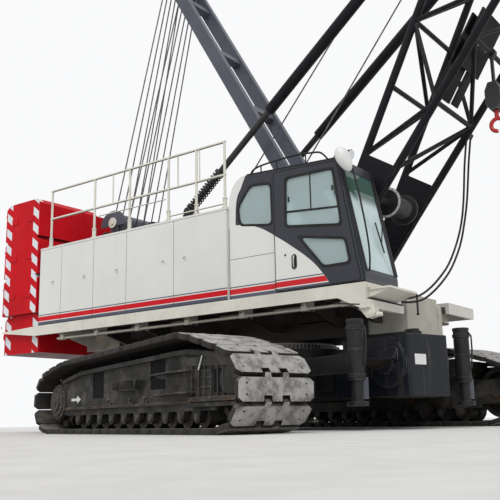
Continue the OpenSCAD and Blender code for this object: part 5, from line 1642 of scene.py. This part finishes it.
seat_vinyl = aged("seat_vinyl", (0.022, 0.022, 0.025), rough=0.48, tone=0.15, dust=0.10, coat=0.1, grain=0.8)
seat_parts = [
    cushion("seat_cushion", (1.005, SEAT_Y, 2.415), (0.52, 0.46, 0.105), 0.22, 0.05, channels=(-0.35, 0.35)),
    cushion("seat_back", (0.745, SEAT_Y, 2.80), (0.56, 0.44, 0.100), 0.22, math.radians(98),
            channels=(-0.4, 0.1)),
    cushion("head_rest", (0.700, SEAT_Y, 3.22), (0.17, 0.25, 0.085), 0.25, math.radians(96)),
]
form = bmesh.new()
add_block(form, (0.82, SEAT_Y - 0.17, 1.953), (1.19, SEAT_Y + 0.17, 1.985))
for k in range(5):
    fold, z = 0.01 * (k % 2), 1.99 + k * 0.06
    add_block(form, (0.86 - fold, SEAT_Y - 0.15, z), (1.15 + fold, SEAT_Y + 0.15, z + 0.05))
add_block(form, (0.80, SEAT_Y - 0.19, 2.29), (1.20, SEAT_Y + 0.19, 2.355))
add_upright(form, [(0.80, 2.33), (0.86, 2.33), (0.70, 3.16), (0.66, 3.16)], SEAT_Y - 0.05, 0.10)
for s in (-1, 1):
    y = SEAT_Y + s * 0.245
    add_block(form, (0.80, y - 0.025, 2.60), (1.16, y + 0.025, 2.64))
    add_rod(form, (0.82, y, 2.62), (0.76, SEAT_Y + s * 0.21, 2.52), 0.014, 8)
seat_frame = finish_piece("seat_frame", form, dark_plastic, "upper", bevel=0.008)
for piece in seat_parts + [seat_frame]:
    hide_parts("cab_seat")

# %% [markdown]
# ## Levers in the cab
# Two short levers with grips stand on either side of the seat, in rubber boots, and three small
# panels step up along the door side. Behind the glass only their outlines count.

# %% Levers and panels in the cab
form = bmesh.new()
for s in (-1, 1):
    y = SEAT_Y + s * 0.31
    for dx in (-0.11, 0.0):
        add_tube(form, [(1.24 + dx, y, 2.60), (1.24 + dx, y, 2.68), (1.255 + dx, y, 2.72)], 0.009, 8)
        add_rod(form, (1.253 + dx, y, 2.715), (1.262 + dx, y, 2.775), 0.016, 12, 0.022)
    add_rod(form, (1.24, y, 2.598), (1.24, y, 2.635), 0.040, 16, 0.022)
for x, z in ((2.10, 2.66), (2.13, 2.72), (2.155, 2.78)):
    add_block(form, (x - 0.07, -1.69, z), (x - 0.055, -1.55, z + 0.035))
finish_piece("cab_levers", form, rubber_and_shade, "upper", bevel=0.003)

# %% [markdown]
# ## Rails and roof-edge fittings on the house
# Thin pipes run low along the roof edge beside the posts, and a few short pickets brace the rail.
# Each post stands in a sleeve with a clamp.

# %% Rail fittings
form = bmesh.new()
RAIL_Y = -1.79
for x in (-3.90, -2.73, -1.85, -0.95, -0.35, 0.23):
    add_rod(form, (x, RAIL_Y, 3.330), (x, RAIL_Y, 3.345), 0.055, 20)
    add_rod(form, (x, RAIL_Y, 3.48), (x, RAIL_Y, 3.505), 0.038, 20)
    add_rod(form, (x, RAIL_Y - 0.045, 3.46), (x, RAIL_Y + 0.045, 3.46), 0.008, 8)
add_tube(form, [(-2.60, RAIL_Y - 0.02, 3.70), (-1.00, RAIL_Y - 0.02, 3.70)], 0.011, 8)
add_tube(form, [(-0.90, RAIL_Y - 0.02, 3.40), (0.21, RAIL_Y - 0.02, 3.40)], 0.013, 8)
for x in (-2.265, -0.743, -0.284):
    add_rod(form, (x, RAIL_Y, 3.867), (x, RAIL_Y, 4.404), 0.013, 10)
finish_piece("rail_fittings", form, cream, "upper", bevel=0.002)
form = bmesh.new()
for x in (-2.45, -2.20, -1.35, -0.60):
    add_block(form, (x, -1.835, 3.331), (x + 0.10, -1.78, 3.368))
finish_piece("roof_edge_clips", form, rubber_and_shade, "upper", bevel=0.004)

# %% [markdown]
# ## Counterweight fittings
# Each slab has a round boss and a small pin at its rear corners, and two flat lugs on either side.
# The lowest slab has no flat lugs, since the deck's sill lies there.

# %% Slab fittings
SLAB_Z, SLAB_STEP = 1.44, 0.725
form = bmesh.new()
for i in range(4):
    z = SLAB_Z + i * SLAB_STEP
    for s in (-1, 1):
        y = s * 1.63
        add_rod(form, (-5.27, y - 0.07, z + 0.36), (-5.27, y + 0.07, z + 0.36), 0.085, 24)
        add_rod(form, (-5.24, s * 1.835, z + 0.52), (-5.24, s * 1.815, z + 0.52), 0.012, 8)
        for x in (-4.95, -4.48) if i else ():
            face = s * 1.832
            add_block(form, (x - 0.09, face - 0.008, z + 0.30), (x + 0.09, face + 0.006, z + 0.44))
finish_piece("slab_bosses", form, slab_red, "upper", bevel=0.008)

# %% [markdown]
# ## Boom fittings
# The feet of the boom are held by pins with round heads and keeper plates. Inside the base section
# dark folded panels cover the hoses and the winch, and a clamp on the far lower chord holds the
# upper ends of the two hoses.

# %% Boom fittings
KEEPER = [(-0.05, 0.07), (0.05, 0.07), (0.05, 0.16), (-0.05, 0.16)]
form = bmesh.new()
for s in (-1, 1):
    y = s * 0.735
    add_rod(form, boom_at(0, y, 0), boom_at(0, y + s * 0.055, 0), 0.085, 32)
    add_outline(form, [boom_at(x, y, h) for x, h in KEEPER], (0, s * 0.02, 0))
for x in (4.25, 4.72):
    add_block(form, (x - 0.20, -0.40, -0.30), (x + 0.20, 0.40, -0.27), boom_at)
for k in range(3):
    add_block(form, (3.50 + k * 0.02, -0.42 + k * 0.30, -0.20), (4.80, -0.20 + k * 0.30, -0.165), boom_at)
finish_piece("boom_panels", form, boom_black, "boom", bevel=0.006)
form = bmesh.new()
add_block(form, (3.20, 0.58, -0.50), (3.28, 0.70, -0.44), boom_at)
finish_piece("hose_clamp", form, black, "boom", bevel=0.006)

# %% [markdown]
# ## The pale ring of the small winch
# The flange of the winch inside the boom shows as a pale ring between the chords. It is made of
# flat wedges whose shared points are then merged, and a circle of small dark discs lies on it as painted
# shade of its holes.

# %% Winch ring
WEDGES, HOLES = 28, 14


def by_drum(r, a, y):
    """A point round the small winch's drum."""
    return boom_at(SMALL_DRUM[0] + r * math.cos(a), y, SMALL_DRUM[1] + r * math.sin(a))


form = bmesh.new()
for k in range(WEDGES):
    a, b = [2 * math.pi * v / WEDGES for v in (k, k + 1)]
    for s in (-1, 1):
        ring = [(0.205, a), (0.236, a), (0.236, b), (0.205, b)]
        add_outline(form, [by_drum(r, t, s * 0.3005) for r, t in ring], (0, s * 0.008, 0))
bmesh.ops.remove_doubles(form, verts=form.verts, dist=0.0005)
finish_piece("winch_ring", form, white_plastic, "boom_winch")
# Dark discs stand for the holes in the ring: painted shade.
form = bmesh.new()
for k in range(HOLES):
    a = 2 * math.pi * k / HOLES
    for y0, y1 in ((-0.3095, -0.305), (0.305, 0.3095)):
        add_rod(form, by_drum(0.22, a, y0), by_drum(0.22, a, y1), 0.008, 8)
finish_piece("winch_ring_holes", form, rubber_and_shade, "boom_winch")

# %% [markdown]
# ## Guards of the rope block
# The block at the rear has a fan-shaped guard plate on either side, with a pale round cover.

# %% Rope block
form = bmesh.new()
for s in (-1, 1):
    fan = [(BLOCK.x + 0.33 * math.cos(a), BLOCK.z + 0.245 * math.sin(a))
           for a in [math.radians(v) for v in range(0, 181, 15)]]
    add_upright(form, fan + [(-3.87, 3.90), (-3.21, 3.90)], s * 0.592, s * 0.016)
finish_piece("block_guards", form, mast_blue, "upper", bevel=0.004)
form = bmesh.new()
for s in (-1, 1):
    for y0, y1, r, sides in ((0.608, 0.628, 0.105, 32), (0.628, 0.645, 0.050, 24)):
        add_rod(form, (BLOCK.x, s * y0, BLOCK.z), (BLOCK.x, s * y1, BLOCK.z), r, sides)
finish_piece("block_covers", form, cream, "upper", bevel=0.003)
